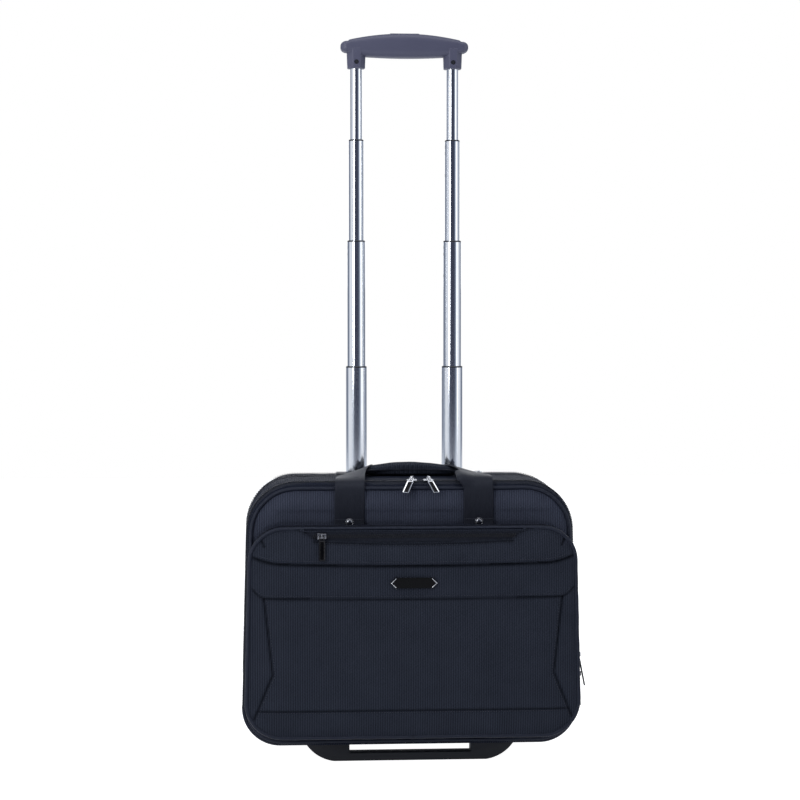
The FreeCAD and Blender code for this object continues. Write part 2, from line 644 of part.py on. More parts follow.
def release():
    """Push button, its cross bar, the spring and the two rods that reach down the inner tubes."""
    cap = box("button_cap", "0 - button_half", "tube_y - button_half_depth",
              "grip_top - button_travel - 4.5", "button_half + button_half",
              "button_half_depth + button_half_depth", "button_travel + 4.5")
    node("push_button", cap)
    bar = box("release_bar", "0 - tube_x - rod_radius", "tube_y - rod_radius",
              "grip_top - button_travel - 8.5", "tube_x + tube_x + rod_radius + rod_radius",
              "rod_radius + rod_radius", "3.9")
    low_bar = box("release_link", "0 - tube_x - rod_radius", "tube_y - rod_radius", "grip_split + 1",
                  "tube_x + tube_x + rod_radius + rod_radius", "rod_radius + rod_radius", "3.6")
    stem = box("release_stem", "0 - 3", "tube_y - rod_radius", "grip_split + 1", "6",
               "rod_radius + rod_radius", "grip_top - button_travel - 5 - grip_split - 0.6")
    short = common("release_short", bar, box("release_short_keep", "0 - 12", "tube_y - 10",
                                             "grip_split", "24", "20", "30"))
    rod = cylinder("release_rod", "rod_radius", "grip_split + 2 - rod_low", "tube_x", "tube_y", "rod_low")
    node("release_rods", fuse("release", [low_bar, stem, short, rod, mirrored("release_rod_other", rod)]))
    outer = cylinder("spring_outer", "spring_radius", "spring_length", "0", "tube_y",
                     "grip_split + 0.5 - spring_length")
    inner = cylinder("spring_inner", "spring_bore", "20", "0", "tube_y", "grip_split - 10")
    node("button_spring", cut("spring", outer, [inner]))


# ---------------------------------------------------------------- wheels

def wheels():
    reach = "well_half + well_half + housing_wall + housing_wall"
    shell = box("housing_shell", "wheel_x - well_half - housing_wall", "housing_front", "housing_low",
                reach, "housing_back - housing_front", "housing_high - housing_low")
    room = box("housing_room", "wheel_x - well_half", "housing_front + housing_wall", "0",
               "well_half + well_half", "100", "housing_high - housing_wall")
    bore = cylinder("housing_bore", "axle_radius + seat_gap", "80", "wheel_x - 40", "wheel_y",
                    "wheel_radius", ALONG_X)
    housing = cut("housing", shell, [room, bore])
    node("wheel_housings", pair("housings", housing))
    axle = cylinder("axle_pin", "axle_radius", reach, "wheel_x - well_half - housing_wall",
                    "wheel_y", "wheel_radius", ALONG_X)
    collars = [
        cylinder("axle_collar_" + side, "axle_radius + 2",
                 "well_half - wheel_half - 1 - joint_gap - seat_gap",
                 start, "wheel_y", "wheel_radius", ALONG_X)
        for side, start in (("in", "wheel_x - well_half + seat_gap"),
                            ("out", "wheel_x + wheel_half + 1 + joint_gap"))
    ]
    node("axles", pair("axle_pair", fuse("axle", [axle] + collars)))
    for side, sign in (("right", ""), ("left", "0 - ")):
        start = "%swheel_x - wheel_half" % sign
        tyre = cylinder("tyre_%s_outer" % side, "wheel_radius", "wheel_half + wheel_half", start,
                        "wheel_y", "wheel_radius", ALONG_X)
        inner = cylinder("tyre_%s_inner" % side, "hub_radius + fit_gap", "60", start + " - 10",
                         "wheel_y", "wheel_radius", ALONG_X)
        node("tyre_" + side, cut("tyre_%s_ring" % side, tyre, [inner]))
        hub = cylinder("hub_%s_outer" % side, "hub_radius", "wheel_half + wheel_half + 2", start + " - 1",
                       "wheel_y", "wheel_radius", ALONG_X)
        hole = cylinder("hub_%s_hole" % side, "axle_radius + fit_gap", "60", start + " - 10",
                        "wheel_y", "wheel_radius", ALONG_X)
        node("hub_" + side, cut("hub_%s_ring" % side, hub, [hole]))


# ---------------------------------------------------------------- front section and pocket

def front_section():
    less = "0 - pipe_radius"
    ring = case_slab("front_ring", [("front", less), ("front", less + " + wall")],
                     "front_pipe_depth - pipe_radius",
                     "front_pipe_depth - pipe_radius - split_front - joint_gap")
    node("front_gusset", ring)
    node("front_piping", piping("front_cord", "front", "0", "front_pipe_depth"))
    node("front_panel", case_slab("front_slab", [("front", "pipe_radius + seat_gap")],
                                  "front_pipe_depth + 2", "panel"))
    coil = case_slab("main_coil", [("case", "0 - coil_height"), ("front", "0 - pipe_radius - seat_gap")],
                     "split_front + joint_gap + coil_half", "coil_half")
    keep = box("main_coil_keep", "0 - 300", "0 - 100", "zip_low", "600", "200", "400")
    node("main_zipper", common("main_coil_cut", coil, keep))


def pocket():
    rear = case_slab("pocket_rear_ring", [("pocket", "0"), ("pocket", "wall")],
                     "pocket_zip_depth - joint_gap",
                     "pocket_zip_depth - joint_gap - front_pipe_depth - pipe_radius - joint_gap")
    node("pocket_rear_gusset", rear)
    front = case_slab("pocket_front_ring", [("pocket", "0"), ("pocket", "wall")],
                      "pocket_pipe_depth - pipe_radius",
                      "pocket_pipe_depth - pipe_radius - pocket_zip_depth - joint_gap")
    node("pocket_front_gusset", front)
    coil = case_slab("pocket_coil", [("pocket", "0 - coil_height"), ("pocket", "0")],
                     "pocket_zip_depth - joint_gap", "coil_half")
    keep = box("pocket_coil_keep", "0 - 300", "0 - 200", "zip_low", "600", "400", "400")
    node("pocket_zipper", common("pocket_coil_cut", coil, keep))
    node("pocket_piping", piping("pocket_cord", "pocket", "0", "pocket_pipe_depth"))

    body = doc.addObject("PartDesign::Body", "face_body")
    sketch = sketch_on(body, "face_outline", "XZ_Plane", "pocket_pipe_depth - 1")
    case_outline(sketch, "pocket", "pipe_radius + seat_gap")
    pad(body, "face_pad", sketch, "panel + 1")
    raised = sketch_on(body, "face_raised_outline", "XZ_Plane", "pocket_pipe_depth + panel")
    case_outline(raised, "pocket", "pad_border")
    solid = pad(body, "face_raised", raised, "pad_height")
    front_most = -amount("pocket_pipe_depth + panel + pad_height")

    def on_front(edge):
        limits = edge.BoundBox
        return limits.YLength < 0.01 and abs(limits.YMin - front_most) < 0.01

    fillet(body, "face_round", solid, "pad_height - 0.5", on_front)
    node("pocket_face", body)


def slash_zipper():
    body = doc.addObject("PartDesign::Body", "slash_body")
    sketch = sketch_on(body, "slash_outline", "XZ_Plane", "pocket_pipe_depth + panel + seat_gap")
    profile(sketch, [
        ("0 - slash_half_bottom", "slash_low"),
        ("slash_half_bottom", "slash_low"),
        ("slash_half_top", "slash_high"),
        ("0 - slash_half_top", "slash_high"),
    ])
    pad(body, "slash_pad", sketch, "coil_height")
    node("slash_zipper", body)


def label_plate():
    body = doc.addObject("PartDesign::Body", "label_body")
    sketch = sketch_on(body, "label_outline", "XZ_Plane",
                       "pocket_pipe_depth + panel + pad_height + seat_gap")
    profile(sketch, [
        ("0 - label_half", "label_height"),
        ("0 - label_flat", "label_height - label_half_height"),
        ("label_flat", "label_height - label_half_height"),
        ("label_half", "label_height"),
        ("label_flat", "label_height + label_half_height"),
        ("0 - label_flat", "label_height + label_half_height"),
    ])
    pad(body, "label_pad", sketch, "label_thick")
    node("label_plate", body)


# ---------------------------------------------------------------- carry handle

STRAP_CENTRES = (("left", "handle_shift - strap_offset"), ("right", "handle_shift + strap_offset"))


def carry_handle():
    front = "0 - front_pipe_depth - pipe_radius - joint_gap - strap_thick"
    tabs = []
    rivets = []
    for side, centre in STRAP_CENTRES:
        strap = box("strap_tab_" + side, centre + " - strap_half", front, "strap_foot",
                    "strap_half + strap_half", "strap_thick",
                     "case_high + strap_rise - strap_foot - seat_gap")
        hole = cylinder("strap_hole_" + side, "rivet_radius - 2 + seat_gap", "10", centre,
                        front + " - 2", "rivet_height", ALONG_Y)
        tabs.append(cut("strap_drilled_" + side, strap, [hole]))
        head = cylinder("rivet_head_" + side, "rivet_radius", "rivet_rise", centre,
                        front + " - rivet_rise - seat_gap", "rivet_height", ALONG_Y)
        shank = cylinder("rivet_shank_" + side, "rivet_radius - 2", "strap_thick + 0.5", centre,
                         front + " - 0.5", "rivet_height", ALONG_Y)
        rivets.append(fuse("rivet_" + side, [head, shank]))
    node("strap_tabs", group("strap_tab_pair", tabs))
    node("strap_rivets", group("rivet_pair", rivets))

    body = doc.addObject("PartDesign::Body", "loop_body")
    sketch = sketch_on(body, "loop_outline", "XY_Plane", "case_high + strap_rise + joint_gap")
    hinge = "0 - front_pipe_depth - pipe_radius - joint_gap"
    outer_left = "handle_shift - strap_offset - strap_half"
    inner_left = "handle_shift - strap_offset + strap_half"
    outer_right = "handle_shift + strap_offset + strap_half"
    inner_right = "handle_shift + strap_offset - strap_half"
    inner_back = "loop_back - strap_half - strap_half"
    profile(sketch, [
        (outer_left, hinge),
        (inner_left, hinge),
        (inner_left, inner_back + " - loop_round + strap_half + strap_half",
         "-loop_round - strap_half - strap_half"),
        (inner_left + " + loop_round - strap_half - strap_half", inner_back),
        (inner_right + " - loop_round + strap_half + strap_half", inner_back,
         "-loop_round - strap_half - strap_half"),
        (inner_right, inner_back + " - loop_round + strap_half + strap_half"),
        (inner_right, hinge),
        (outer_right, hinge),
        (outer_right, "loop_back - loop_round", "loop_round"),
        (outer_right + " - loop_round", "loop_back"),
        (outer_left + " + loop_round", "loop_back", "loop_round"),
        (outer_left, "loop_back - loop_round"),
    ])
    pad(body, "loop_pad", sketch, "strap_thick")
    front = "loop_back - strap_half - strap_half"
    under = "case_high + strap_rise + joint_gap"
    sleeve = box("sleeve_outer", "handle_shift - sleeve_half", front + " - sleeve_overlap",
                 under + " - sleeve_overlap", "sleeve_half + sleeve_half",
                 "strap_half + strap_half + sleeve_overlap + sleeve_overlap", "sleeve_height")
    slot = box("sleeve_slot", "handle_shift - sleeve_half - 10", front + " - seat_gap",
               under + " - seat_gap", "sleeve_half + sleeve_half + 20",
               "strap_half + strap_half + seat_gap + seat_gap", "strap_thick + seat_gap + seat_gap")
    node("carry_strap", body)
    node("carry_sleeve", cut("sleeve", sleeve, [slot]))


# ---------------------------------------------------------------- zipper sliders and pulls

def slider(name, heading, pivot_reach):
    """A slider over a coil: its plate and the bridge that holds the pull.

    It is made about a point on the coil's top, with its zipper along X and its plate facing +Z.
    """
    plate = box(name + "_plate", "0 - slider_half - 1.5", "0 - slider_half", "joint_gap",
                "slider_length", "slider_half + slider_half", "slider_plate")
    high = "joint_gap + slider_plate + pivot_height"
    post = box(name + "_post", "0 - bridge_half", "0 - bridge_reach", "joint_gap + 0.2",
               "bridge_half + bridge_half", "bridge_reach + bridge_reach",
               "slider_plate + pivot_height + bridge_reach - 0.2")
    hole = cylinder(name + "_hole", "bridge_bore", "20", "0 - 10", "0", high, ALONG_X)
    bridge = cut(name + "_bridge", post, [hole])
    bridge.Placement = FreeCAD.Placement(FreeCAD.Vector(0, -amount(pivot_reach), 0),
                                         FreeCAD.Rotation(Z_AXIS, heading))
    bridge.setExpression("Placement.Base.y", formula(minus(pivot_reach)))
    pieces = [plate, bridge]
    if amount(pivot_reach) > 0:
        pieces.append(box(name + "_nose", "0 - bridge_half", "0 - " + pivot_reach, "joint_gap",
                          "bridge_half + bridge_half", pivot_reach, "slider_plate"))
    return fuse(name + "_solid", pieces)


def pull(name, length, half):
    """A pull: its bar at the origin, hanging along -Z, facing -Y."""
    outer = "arm_offset + pull_arm"
    bar = cylinder(name + "_bar", "pull_bar", outer + " + " + outer, minus(outer), "0", "0", ALONG_X)
    pieces = [bar]
    for side, start in (("left", minus(outer)), ("right", "arm_offset")):
        pieces.append(box("%s_arm_%s" % (name, side), start, "0 - pull_bar", "0 - eye_depth - 1",
                          "pull_arm", "pull_thick", "eye_depth + 1"))
    pieces.append(box(name + "_tab", "0 - " + half, "0 - pull_bar", "0 - eye_depth - " + length,
                      half + " + " + half, "pull_thick", length))
    return fuse(name + "_solid", pieces)


def zipper_pulls():
    lift = "joint_gap + slider_plate + pivot_height"
    coil = "case_high + coil_height"
    for side, x, heading in (("left", "left_slider_x", -30), ("right", "right_slider_x", 30)):
        piece = slider("main_slider_" + side, heading, "main_pivot_reach")
        node("slider_main_" + side, put(piece, x, "0 - split_front", coil))
        tab = pull("main_pull_" + side, "main_pull_length", "main_pull_half")
        turn = FreeCAD.Rotation(Z_AXIS, heading).multiply(FreeCAD.Rotation(X_AXIS, -47))
        node("pull_main_" + side,
             put(tab, x, "0 - split_front - main_pivot_reach", coil + " + " + lift, turn))

    piece = slider("rear_slider", 0, "0")
    node("slider_rear", put(piece, "rear_slider_x", "rear_zip_depth", coil))
    tab = pull("rear_pull", "rear_pull_length", "main_pull_half")
    node("pull_rear", put(tab, "rear_slider_x", "rear_zip_depth", coil + " + " + lift,
                          FreeCAD.Rotation(X_AXIS, 88)))

    wall = amount("pocket_half_bottom + coil_height")
    lean = (amount("pocket_half_bottom") - amount("pocket_half_top"))
    lean /= amount("pocket_high") - amount("pocket_low")
    tilt = math.degrees(math.atan(lean))
    face_right = FreeCAD.Rotation(FreeCAD.Vector(0, 1, 0), 90 - tilt)
    for side, height, swing in (("upper", "upper_slider_z", -11), ("lower", "lower_slider_z", -2)):
        share = "(Sizes.pocket_half_bottom - Sizes.pocket_half_top) / (Sizes.pocket_high - Sizes.pocket_low)"
        inward = "(Sizes.%s - Sizes.pocket_low) * %s" % (height, share)
        x = wall - (amount(height) - amount("pocket_low")) * lean
        piece = slider("side_slider_" + side, 90, "0")
        put(piece, "0", "0 - pocket_zip_depth", height, face_right)
        bound = "Sizes.pocket_half_bottom + Sizes.coil_height - " + inward
        piece.Placement.Base = FreeCAD.Vector(x, -amount("pocket_zip_depth"), amount(height))
        piece.setExpression("Placement.Base.x", bound)
        node("slider_side_" + side, piece)
        tab = pull("side_pull_" + side, "black_pull_length", "black_pull_half")
        turn = FreeCAD.Rotation(Z_AXIS, 90).multiply(FreeCAD.Rotation(X_AXIS, swing))
        put(tab, "0", "0 - pocket_zip_depth", height, turn)
        tab.Placement.Base = FreeCAD.Vector(x + amount(lift), -amount("pocket_zip_depth"), amount(height))
        tab.setExpression("Placement.Base.x", bound + " + " + formula(lift))
        node("pull_side_" + side, tab)

    face = "0 - pocket_pipe_depth - panel - seat_gap - coil_height"
    piece = slider("slash_slider", 0, "0")
    node("slider_slash", put(piece, "0 - slash_slider_x", face, "slash_slider_z",
                             FreeCAD.Rotation(X_AXIS, 90)))
    tab = pull("slash_pull", "slash_pull_length", "black_pull_half")
    node("pull_slash", put(tab, "0 - slash_slider_x", face + " - " + lift.replace("+", "-"),
                           "slash_slider_z", FreeCAD.Rotation(X_AXIS, -11)))


# ---------------------------------------------------------------- build and write

def check_document():
    doc.recompute()
    for item in doc.Objects:
        if "Invalid" in item.State or "Error" in item.State:
            raise RuntimeError("%s failed: %s" % (item.Name, item.State))
    for item in nodes:
        if item.Shape.isNull() or not item.Shape.isValid() or not item.Shape.Solids:
            raise RuntimeError("%s has no valid solid" % item.Label)


def write_parts():
    os.makedirs("parts", exist_ok=True)
    for item in nodes:
        item.Shape.exportStep(os.path.join("parts", item.Label + ".step"))
    print(len(nodes), "parts written")


main_case()
chassis()
front_foot()
bezel()
trolley()
grip()
release()
wheels()
front_section()
pocket()
slash_zipper()
label_plate()
carry_handle()
zipper_pulls()
check_document()
write_parts()
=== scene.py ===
import json
import math

import bmesh
import bpy
from mathutils import Matrix, Vector, noise

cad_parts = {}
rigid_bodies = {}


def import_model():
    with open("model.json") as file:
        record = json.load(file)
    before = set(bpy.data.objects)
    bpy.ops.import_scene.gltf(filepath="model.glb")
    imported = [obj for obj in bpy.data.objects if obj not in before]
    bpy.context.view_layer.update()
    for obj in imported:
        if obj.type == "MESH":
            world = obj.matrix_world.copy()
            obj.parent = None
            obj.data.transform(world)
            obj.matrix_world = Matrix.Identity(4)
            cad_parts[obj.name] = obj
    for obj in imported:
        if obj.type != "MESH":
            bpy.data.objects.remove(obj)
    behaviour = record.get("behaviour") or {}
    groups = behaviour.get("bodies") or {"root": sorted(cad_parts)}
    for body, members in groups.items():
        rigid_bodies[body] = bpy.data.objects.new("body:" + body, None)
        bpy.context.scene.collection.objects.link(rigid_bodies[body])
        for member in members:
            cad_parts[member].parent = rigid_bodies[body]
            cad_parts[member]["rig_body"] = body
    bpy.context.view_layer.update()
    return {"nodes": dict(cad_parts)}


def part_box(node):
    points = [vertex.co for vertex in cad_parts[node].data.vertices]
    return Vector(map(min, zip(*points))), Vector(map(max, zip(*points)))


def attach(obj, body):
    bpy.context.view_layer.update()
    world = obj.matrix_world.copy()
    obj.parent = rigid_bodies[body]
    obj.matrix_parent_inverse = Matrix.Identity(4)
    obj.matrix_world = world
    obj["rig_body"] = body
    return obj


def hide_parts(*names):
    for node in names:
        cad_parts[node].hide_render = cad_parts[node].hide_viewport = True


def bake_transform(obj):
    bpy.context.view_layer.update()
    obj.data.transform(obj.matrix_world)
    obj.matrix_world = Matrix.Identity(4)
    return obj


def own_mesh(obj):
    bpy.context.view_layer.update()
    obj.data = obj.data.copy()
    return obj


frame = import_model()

# A soft-sided pilot case on wheels, with its trolley handle drawn out.
# Metres throughout, front towards -Y, up is +Z.

MM = 0.001
TO_FRONT, TO_BACK = Vector((0, -1, 0)), Vector((0, 1, 0))
UPRIGHT, SIDEWAYS = (math.pi / 2, 0, 0), (0, math.pi / 2, 0)
HANDS = (("left", -1), ("right", 1))

# Half the spacing of the handle's tubes, and the depths of the three zippers.
TUBE_X = 0.065
MAIN_ZIP_Y, POCKET_ZIP_Y, REAR_ZIP_Y = -0.038, -0.072, 0.050


# ---------------------------------------------------------------- shader tools

class Value:
    """A node's output that can be used in arithmetic."""

    def __init__(self, finish, socket):
        self.finish = finish
        self.socket = socket

    def maths(self, operation, other=None, flip=False):
        values = [self] if other is None else [other, self] if flip else [self, other]
        return self.finish.node("ShaderNodeMath", {"operation": operation}, dict(enumerate(values)))

    def __add__(self, other):
        return self.maths("ADD", other)

    def __sub__(self, other):
        return self.maths("SUBTRACT", other)

    def __mul__(self, other):
        return self.maths("MULTIPLY", other)

    def __truediv__(self, other):
        return self.maths("DIVIDE", other)

    def __rsub__(self, other):
        return self.maths("SUBTRACT", other, flip=True)

    __radd__ = __add__
    __rmul__ = __mul__

    def wave(self, period):
        """A sine from -1 to 1 with that period."""
        return (self * (2 * math.pi / period)).maths("SINE")

    def clipped(self):
        return self.maths("MINIMUM", 1.0).maths("MAXIMUM", 0.0)


class Nodes:
    """A node tree that nodes are added to in one line each."""

    def __init__(self, tree):
        self.tree = tree

    def node(self, kind, settings, sockets, output=0):
        made = self.tree.nodes.new(kind)
        for words, setting in settings.items():
            if words == "stops":
                ramp = made.color_ramp
                while len(ramp.elements) < len(setting):
                    ramp.elements.new(0.5)
                for element, (place, shade) in zip(ramp.elements, setting):
                    element.position = place
                    element.color = (shade, shade, shade, 1) if isinstance(shade, float) else (*shade, 1)
            else:
                setattr(made, words, setting)
        for words, given in sockets.items():
            if isinstance(given, Value):
                self.tree.links.new(given.socket, made.inputs[words])
            elif isinstance(given, tuple) and len(given) == 3 and made.inputs[words].type == "RGBA":
                made.inputs[words].default_value = (*given, 1)
            else:
                made.inputs[words].default_value = given
        return Value(self, made.outputs[output])

    def blended(self, factor, first, second):
        return self.node("ShaderNodeMix", {"data_type": "RGBA"}, {0: factor, 6: first, 7: second}, 2)

    def wire_to(self, node, words, value):
        self.tree.links.new(value.socket, node.inputs[words])


class Finish(Nodes):
    """A material made from nodes round one Principled shader."""

    def __init__(self, name, **constants):
        self.material = bpy.data.materials.new(name)
        self.material.use_nodes = True
        super().__init__(self.material.node_tree)
        self.tree.nodes.clear()
        self.shader = self.tree.nodes.new("ShaderNodeBsdfPrincipled")
        output = self.tree.nodes.new("ShaderNodeOutputMaterial")
        self.tree.links.new(self.shader.outputs[0], output.inputs[0])
        for words, number in constants.items():
            socket = self.shader.inputs[words.replace("_", " ")]
            socket.default_value = (*number, 1) if isinstance(number, tuple) and len(number) == 3 else number

    def place(self):
        return self.node("ShaderNodeTexCoord", {}, {}, "Object")

    def weave_place(self):
        return self.node("ShaderNodeUVMap", {"uv_map": "weave"}, {})

    def part(self, vector, letter):
        return self.node("ShaderNodeSeparateXYZ", {}, {0: vector}, letter)

    def joined(self, x, y, z):
        return self.node("ShaderNodeCombineXYZ", {}, {0: x, 1: y, 2: z})

    def grain(self, vector, scale, detail):
        sockets = {"Vector": vector, "Scale": scale, "Detail": detail}
        return self.node("ShaderNodeTexNoise", {}, sockets, "Fac")

    def ranged(self, value, low, high):
        """A value from 0 to 1 spread between two numbers."""
        return value * (high - low) + low

    def bumped(self, height, distance):
        sockets = {"Strength": 1.0, "Distance": distance, "Height": height}
        self.wire("Normal", self.node("ShaderNodeBump", {}, sockets, "Normal"))

    def hollow(self):
        """Painted shade in and under the seams at a point, from 0 to 1."""
        return self.node("ShaderNodeAttribute", {"attribute_name": "hollow"}, {}, "Fac")

    def wire(self, words, value):
        self.wire_to(self.shader, words, value)


# ---------------------------------------------------------------- materials

def ribbed_fabric(name, dark, light):
    """A dobby weave: fine ribs up the piece, each broken into short dashes."""
    rib, dash = 3.0 * MM, 1.9 * MM
    made = Finish(name, Roughness=0.62, Specular_IOR_Level=0.12, Specular_Tint=(0.72, 0.80, 1.0))
    place = made.weave_place()
    across = made.part(place, "X")
    along = made.part(place, "Y")
    ribs = across.wave(rib)
    shift = (across / rib).maths("FLOOR") * (0.5 * dash)
    dashes = (along + shift).wave(dash)
    threads = along.wave(0.55 * MM) * across.wave(0.5 * MM)
    height = ribs * 0.5 + dashes * 0.32 + threads * 0.18
    patches = made.grain(place, 24.0, 3.0)
    fuzz = made.grain(place, 900.0, 2.0)
    tone = ((height * 0.5 + 0.5) * 0.85 + patches * 0.25 + fuzz * 0.2 - 0.16).clipped()
    # Painted shade: the cloth's colour is darkened in and under its seams.
    tone = tone * (1 - made.hollow() * 0.92)
    made.wire("Base Color", made.blended(tone, dark, light))
    made.wire("Roughness", made.ranged(1 - tone, 0.52, 0.74))
    made.bumped(height + fuzz * 0.4, 0.00035)
    return made.material


def satin_webbing(name, dark, light, thread=1.5):
    """Close, slightly shining cloth with its threads on the slant; thread is their spacing in mm."""
    made = Finish(name, Roughness=0.42, Specular_IOR_Level=0.25, Specular_Tint=(0.76, 0.83, 1.0))
    place = made.weave_place()
    across = made.part(place, "X")
    along = made.part(place, "Y")
    lean = (across + along).wave(thread * MM)
    cross = (across - along).wave(thread * 1.1 * MM)
    rows = across.wave(2.1 * MM)
    height = lean * 0.35 + cross * 0.2 + rows * 0.35
    patches = made.grain(place, 40.0, 3.0)
    tone = (height * 0.35 + 0.35 + patches * 0.35).clipped()
    made.wire("Base Color", made.blended(tone, dark, light))
    made.wire("Roughness", made.ranged(patches, 0.34, 0.52))
    made.bumped(height, 0.0002)
    return made.material


def moulded(name, dark, light, rough, grain_scale=1400.0, bump=0.00004, wear=0.3, gloss=0.35):
    """Moulded plastic with a fine spark-eroded grain and slightly rubbed edges."""
    made = Finish(name, Specular_IOR_Level=gloss)
    place = made.place()
    fine = made.grain(place, grain_scale, 2.0)
    broad = made.grain(place, 18.0, 4.0)
    rubbed = (made.node("ShaderNodeNewGeometry", {}, {}, "Pointiness") - 0.53) * 9.0
    rubbed = rubbed.clipped() * wear
    tone = (broad * 0.5 + fine * 0.2 + rubbed).clipped()
    made.wire("Base Color", made.blended(tone, dark, light))
    made.wire("Roughness", made.ranged(broad * 0.6 + fine * 0.4, rough - 0.06, rough + 0.08))
    made.bumped(fine, bump)
    return made.material


def polished_tube():
    """Bright drawn tube with faint lengthwise drawing marks."""
    made = Finish("polished_tube", Base_Color=(0.74, 0.75, 0.78), Metallic=1.0)
    place = made.place()
    marks = made.joined(made.part(place, "X") * 3000.0, made.part(place, "Y") * 3000.0,
                        made.part(place, "Z") * 12.0)
    drawn = made.grain(marks, 1.0, 2.0)
    smudge = made.grain(place, 30.0, 3.0)
    made.wire("Roughness", made.ranged(drawn * 0.3 + smudge * 0.7, 0.112, 0.122))
    made.wire("Base Color", made.blended(smudge, (0.70, 0.73, 0.77), (0.78, 0.81, 0.85)))
    return made.material


def plated(name, tint, rough):
    made = Finish(name, Metallic=1.0)
    place = made.place()
    smudge = made.grain(place, 220.0, 3.0)
    pits = made.grain(place, 2500.0, 1.0)
    made.wire("Base Color", made.blended(smudge, tuple(0.88 * part for part in tint), tint))
    made.wire("Roughness", made.ranged(smudge, rough * 0.7, rough * 1.4))
    made.bumped(pits, 0.00001)
    return made.material


def rubber(name, dark, light):
    made = Finish(name, Specular_IOR_Level=0.35)
    place = made.place()
    dust = made.grain(place, 120.0, 4.0)
    fine = made.grain(place, 1800.0, 2.0)
    made.wire("Base Color", made.blended(dust * 0.7 + fine * 0.3, dark, light))
    made.wire("Roughness", made.ranged(dust, 0.55, 0.82))
    made.bumped(fine, 0.00005)
    return made.material


FABRIC = ribbed_fabric("ribbed_fabric", (0.0080, 0.0102, 0.0165), (0.0620, 0.0700, 0.1040))
# A darker copy of the same fabric, as painted shade, for the pocket's face and the carry sleeve.
FABRIC_PAINTED_SHADE_MID = ribbed_fabric("ribbed_fabric_pocket", (0.0010, 0.0016, 0.0034), (0.0290, 0.0340, 0.0500))
# A still darker copy of the same fabric, as painted shade, for the walls round the sides and the bends below
# the zippers.
FABRIC_PAINTED_SHADE_DEEP = ribbed_fabric("ribbed_fabric_side", (0.0010, 0.0016, 0.0045), (0.0150, 0.0190, 0.0350))
PIPING = satin_webbing("piping_satin", (0.0015, 0.0022, 0.0055), (0.0105, 0.0130, 0.0245), thread=1.0)
WEBBING = satin_webbing("webbing", (0.0015, 0.0018, 0.0035), (0.0100, 0.0112, 0.0185))
ZIP_TAPE = satin_webbing("zip_tape", (0.0010, 0.0014, 0.0034), (0.0060, 0.0075, 0.0145), thread=0.9)
COIL = moulded("zip_coil", (0.0020, 0.0026, 0.0050), (0.0085, 0.0100, 0.0165), 0.42, bump=0.00001, gloss=0.25)
THREAD = satin_webbing("sewing_thread", (0.012, 0.013, 0.020), (0.036, 0.040, 0.056), thread=0.5)
GRIP = moulded("grip_plastic", (0.060, 0.062, 0.100), (0.086, 0.089, 0.140), 0.42)
DARK_PLASTIC = moulded("dark_plastic", (0.0015, 0.0020, 0.0042), (0.0070, 0.0085, 0.0145), 0.50, bump=0.00006)
COLLAR = moulded("collar_plastic", (0.008, 0.009, 0.012), (0.022, 0.024, 0.030), 0.32)
BOARD = moulded("pressed_board", (0.016, 0.017, 0.020), (0.034, 0.035, 0.039), 0.7, grain_scale=500.0)
BLACK_PULL = moulded("black_pull", (0.002, 0.002, 0.003), (0.010, 0.0105, 0.014), 0.26, bump=0.00001,
                     gloss=0.4)
LABEL_BLACK = moulded("label_black", (0.0008, 0.0008, 0.0012), (0.0022, 0.0022, 0.0030), 0.25, bump=0.000004,
                      wear=0.1, gloss=0.12)
TUBE = polished_tube()
BRIGHT = plated("bright_plate", (0.80, 0.81, 0.83), 0.16)
STEEL = plated("plain_steel", (0.50, 0.50, 0.51), 0.30)
RIVET = plated("dark_plate", (0.20, 0.205, 0.225), 0.20)
TYRE = rubber("tyre_rubber", (0.012, 0.012, 0.013), (0.034, 0.034, 0.036))
HUB = moulded("hub_plastic", (0.030, 0.031, 0.036), (0.052, 0.054, 0.060), 0.35)


# ---------------------------------------------------------------- modelling tools

def deselect():
    if bpy.context.object and bpy.context.object.mode != "OBJECT":
        bpy.ops.object.mode_set(mode="OBJECT")
    bpy.ops.object.select_all(action="DESELECT")


def activate(piece):
    deselect()
    piece.select_set(True)
    bpy.context.view_layer.objects.active = piece


def settle(piece):
    """Put a piece's place, turn and size into its mesh."""
    activate(piece)
    bpy.ops.object.transform_apply(location=True, rotation=True, scale=True)
    return piece


def started(name):
    """The primitive that was just added, named and settled."""
    piece = bpy.context.object
    piece.name = name
    piece.data.name = name
    return settle(piece)


def added(name, primitive, **settings):
    """A new primitive, named and settled."""
    deselect()
    primitive(**settings)
    return started(name)


def block(name, size, place=(0, 0, 0)):
    return added(name, bpy.ops.mesh.primitive_cube_add, size=1, location=place, scale=size)


def grid(name, columns, rows, rotation=(0, 0, 0)):
    """A square sheet from -1 to 1 each way."""
    return added(name, bpy.ops.mesh.primitive_grid_add, x_subdivisions=columns, y_subdivisions=rows,
                 size=2, rotation=rotation)


def cylinder(name, sides, radius, depth, place, rotation=(0, 0, 0)):
    return added(name, bpy.ops.mesh.primitive_cylinder_add, vertices=sides, radius=radius, depth=depth,
                 location=place, rotation=rotation)


def edited(piece, *steps):
    """Take these steps in edit mode, each with all of the piece selected."""
    activate(piece)
    bpy.ops.object.mode_set(mode="EDIT")
    for step in steps:
        bpy.ops.mesh.select_all(action="SELECT")
        step()
    bpy.ops.object.mode_set(mode="OBJECT")
    return piece


def subdivided(piece, cuts):
    return edited(piece, lambda: bpy.ops.mesh.subdivide(number_cuts=cuts))


def outwards(piece):
    return edited(piece, lambda: bpy.ops.mesh.normals_make_consistent(inside=False))


def worked(piece, kind, **settings):
    """Add a modifier with these settings and apply it."""
    modifier = piece.modifiers.new("work", kind)
    for words, setting in settings.items():
        setattr(modifier, words, setting)
    activate(piece)
    bpy.ops.object.modifier_apply(modifier=modifier.name)
    return piece


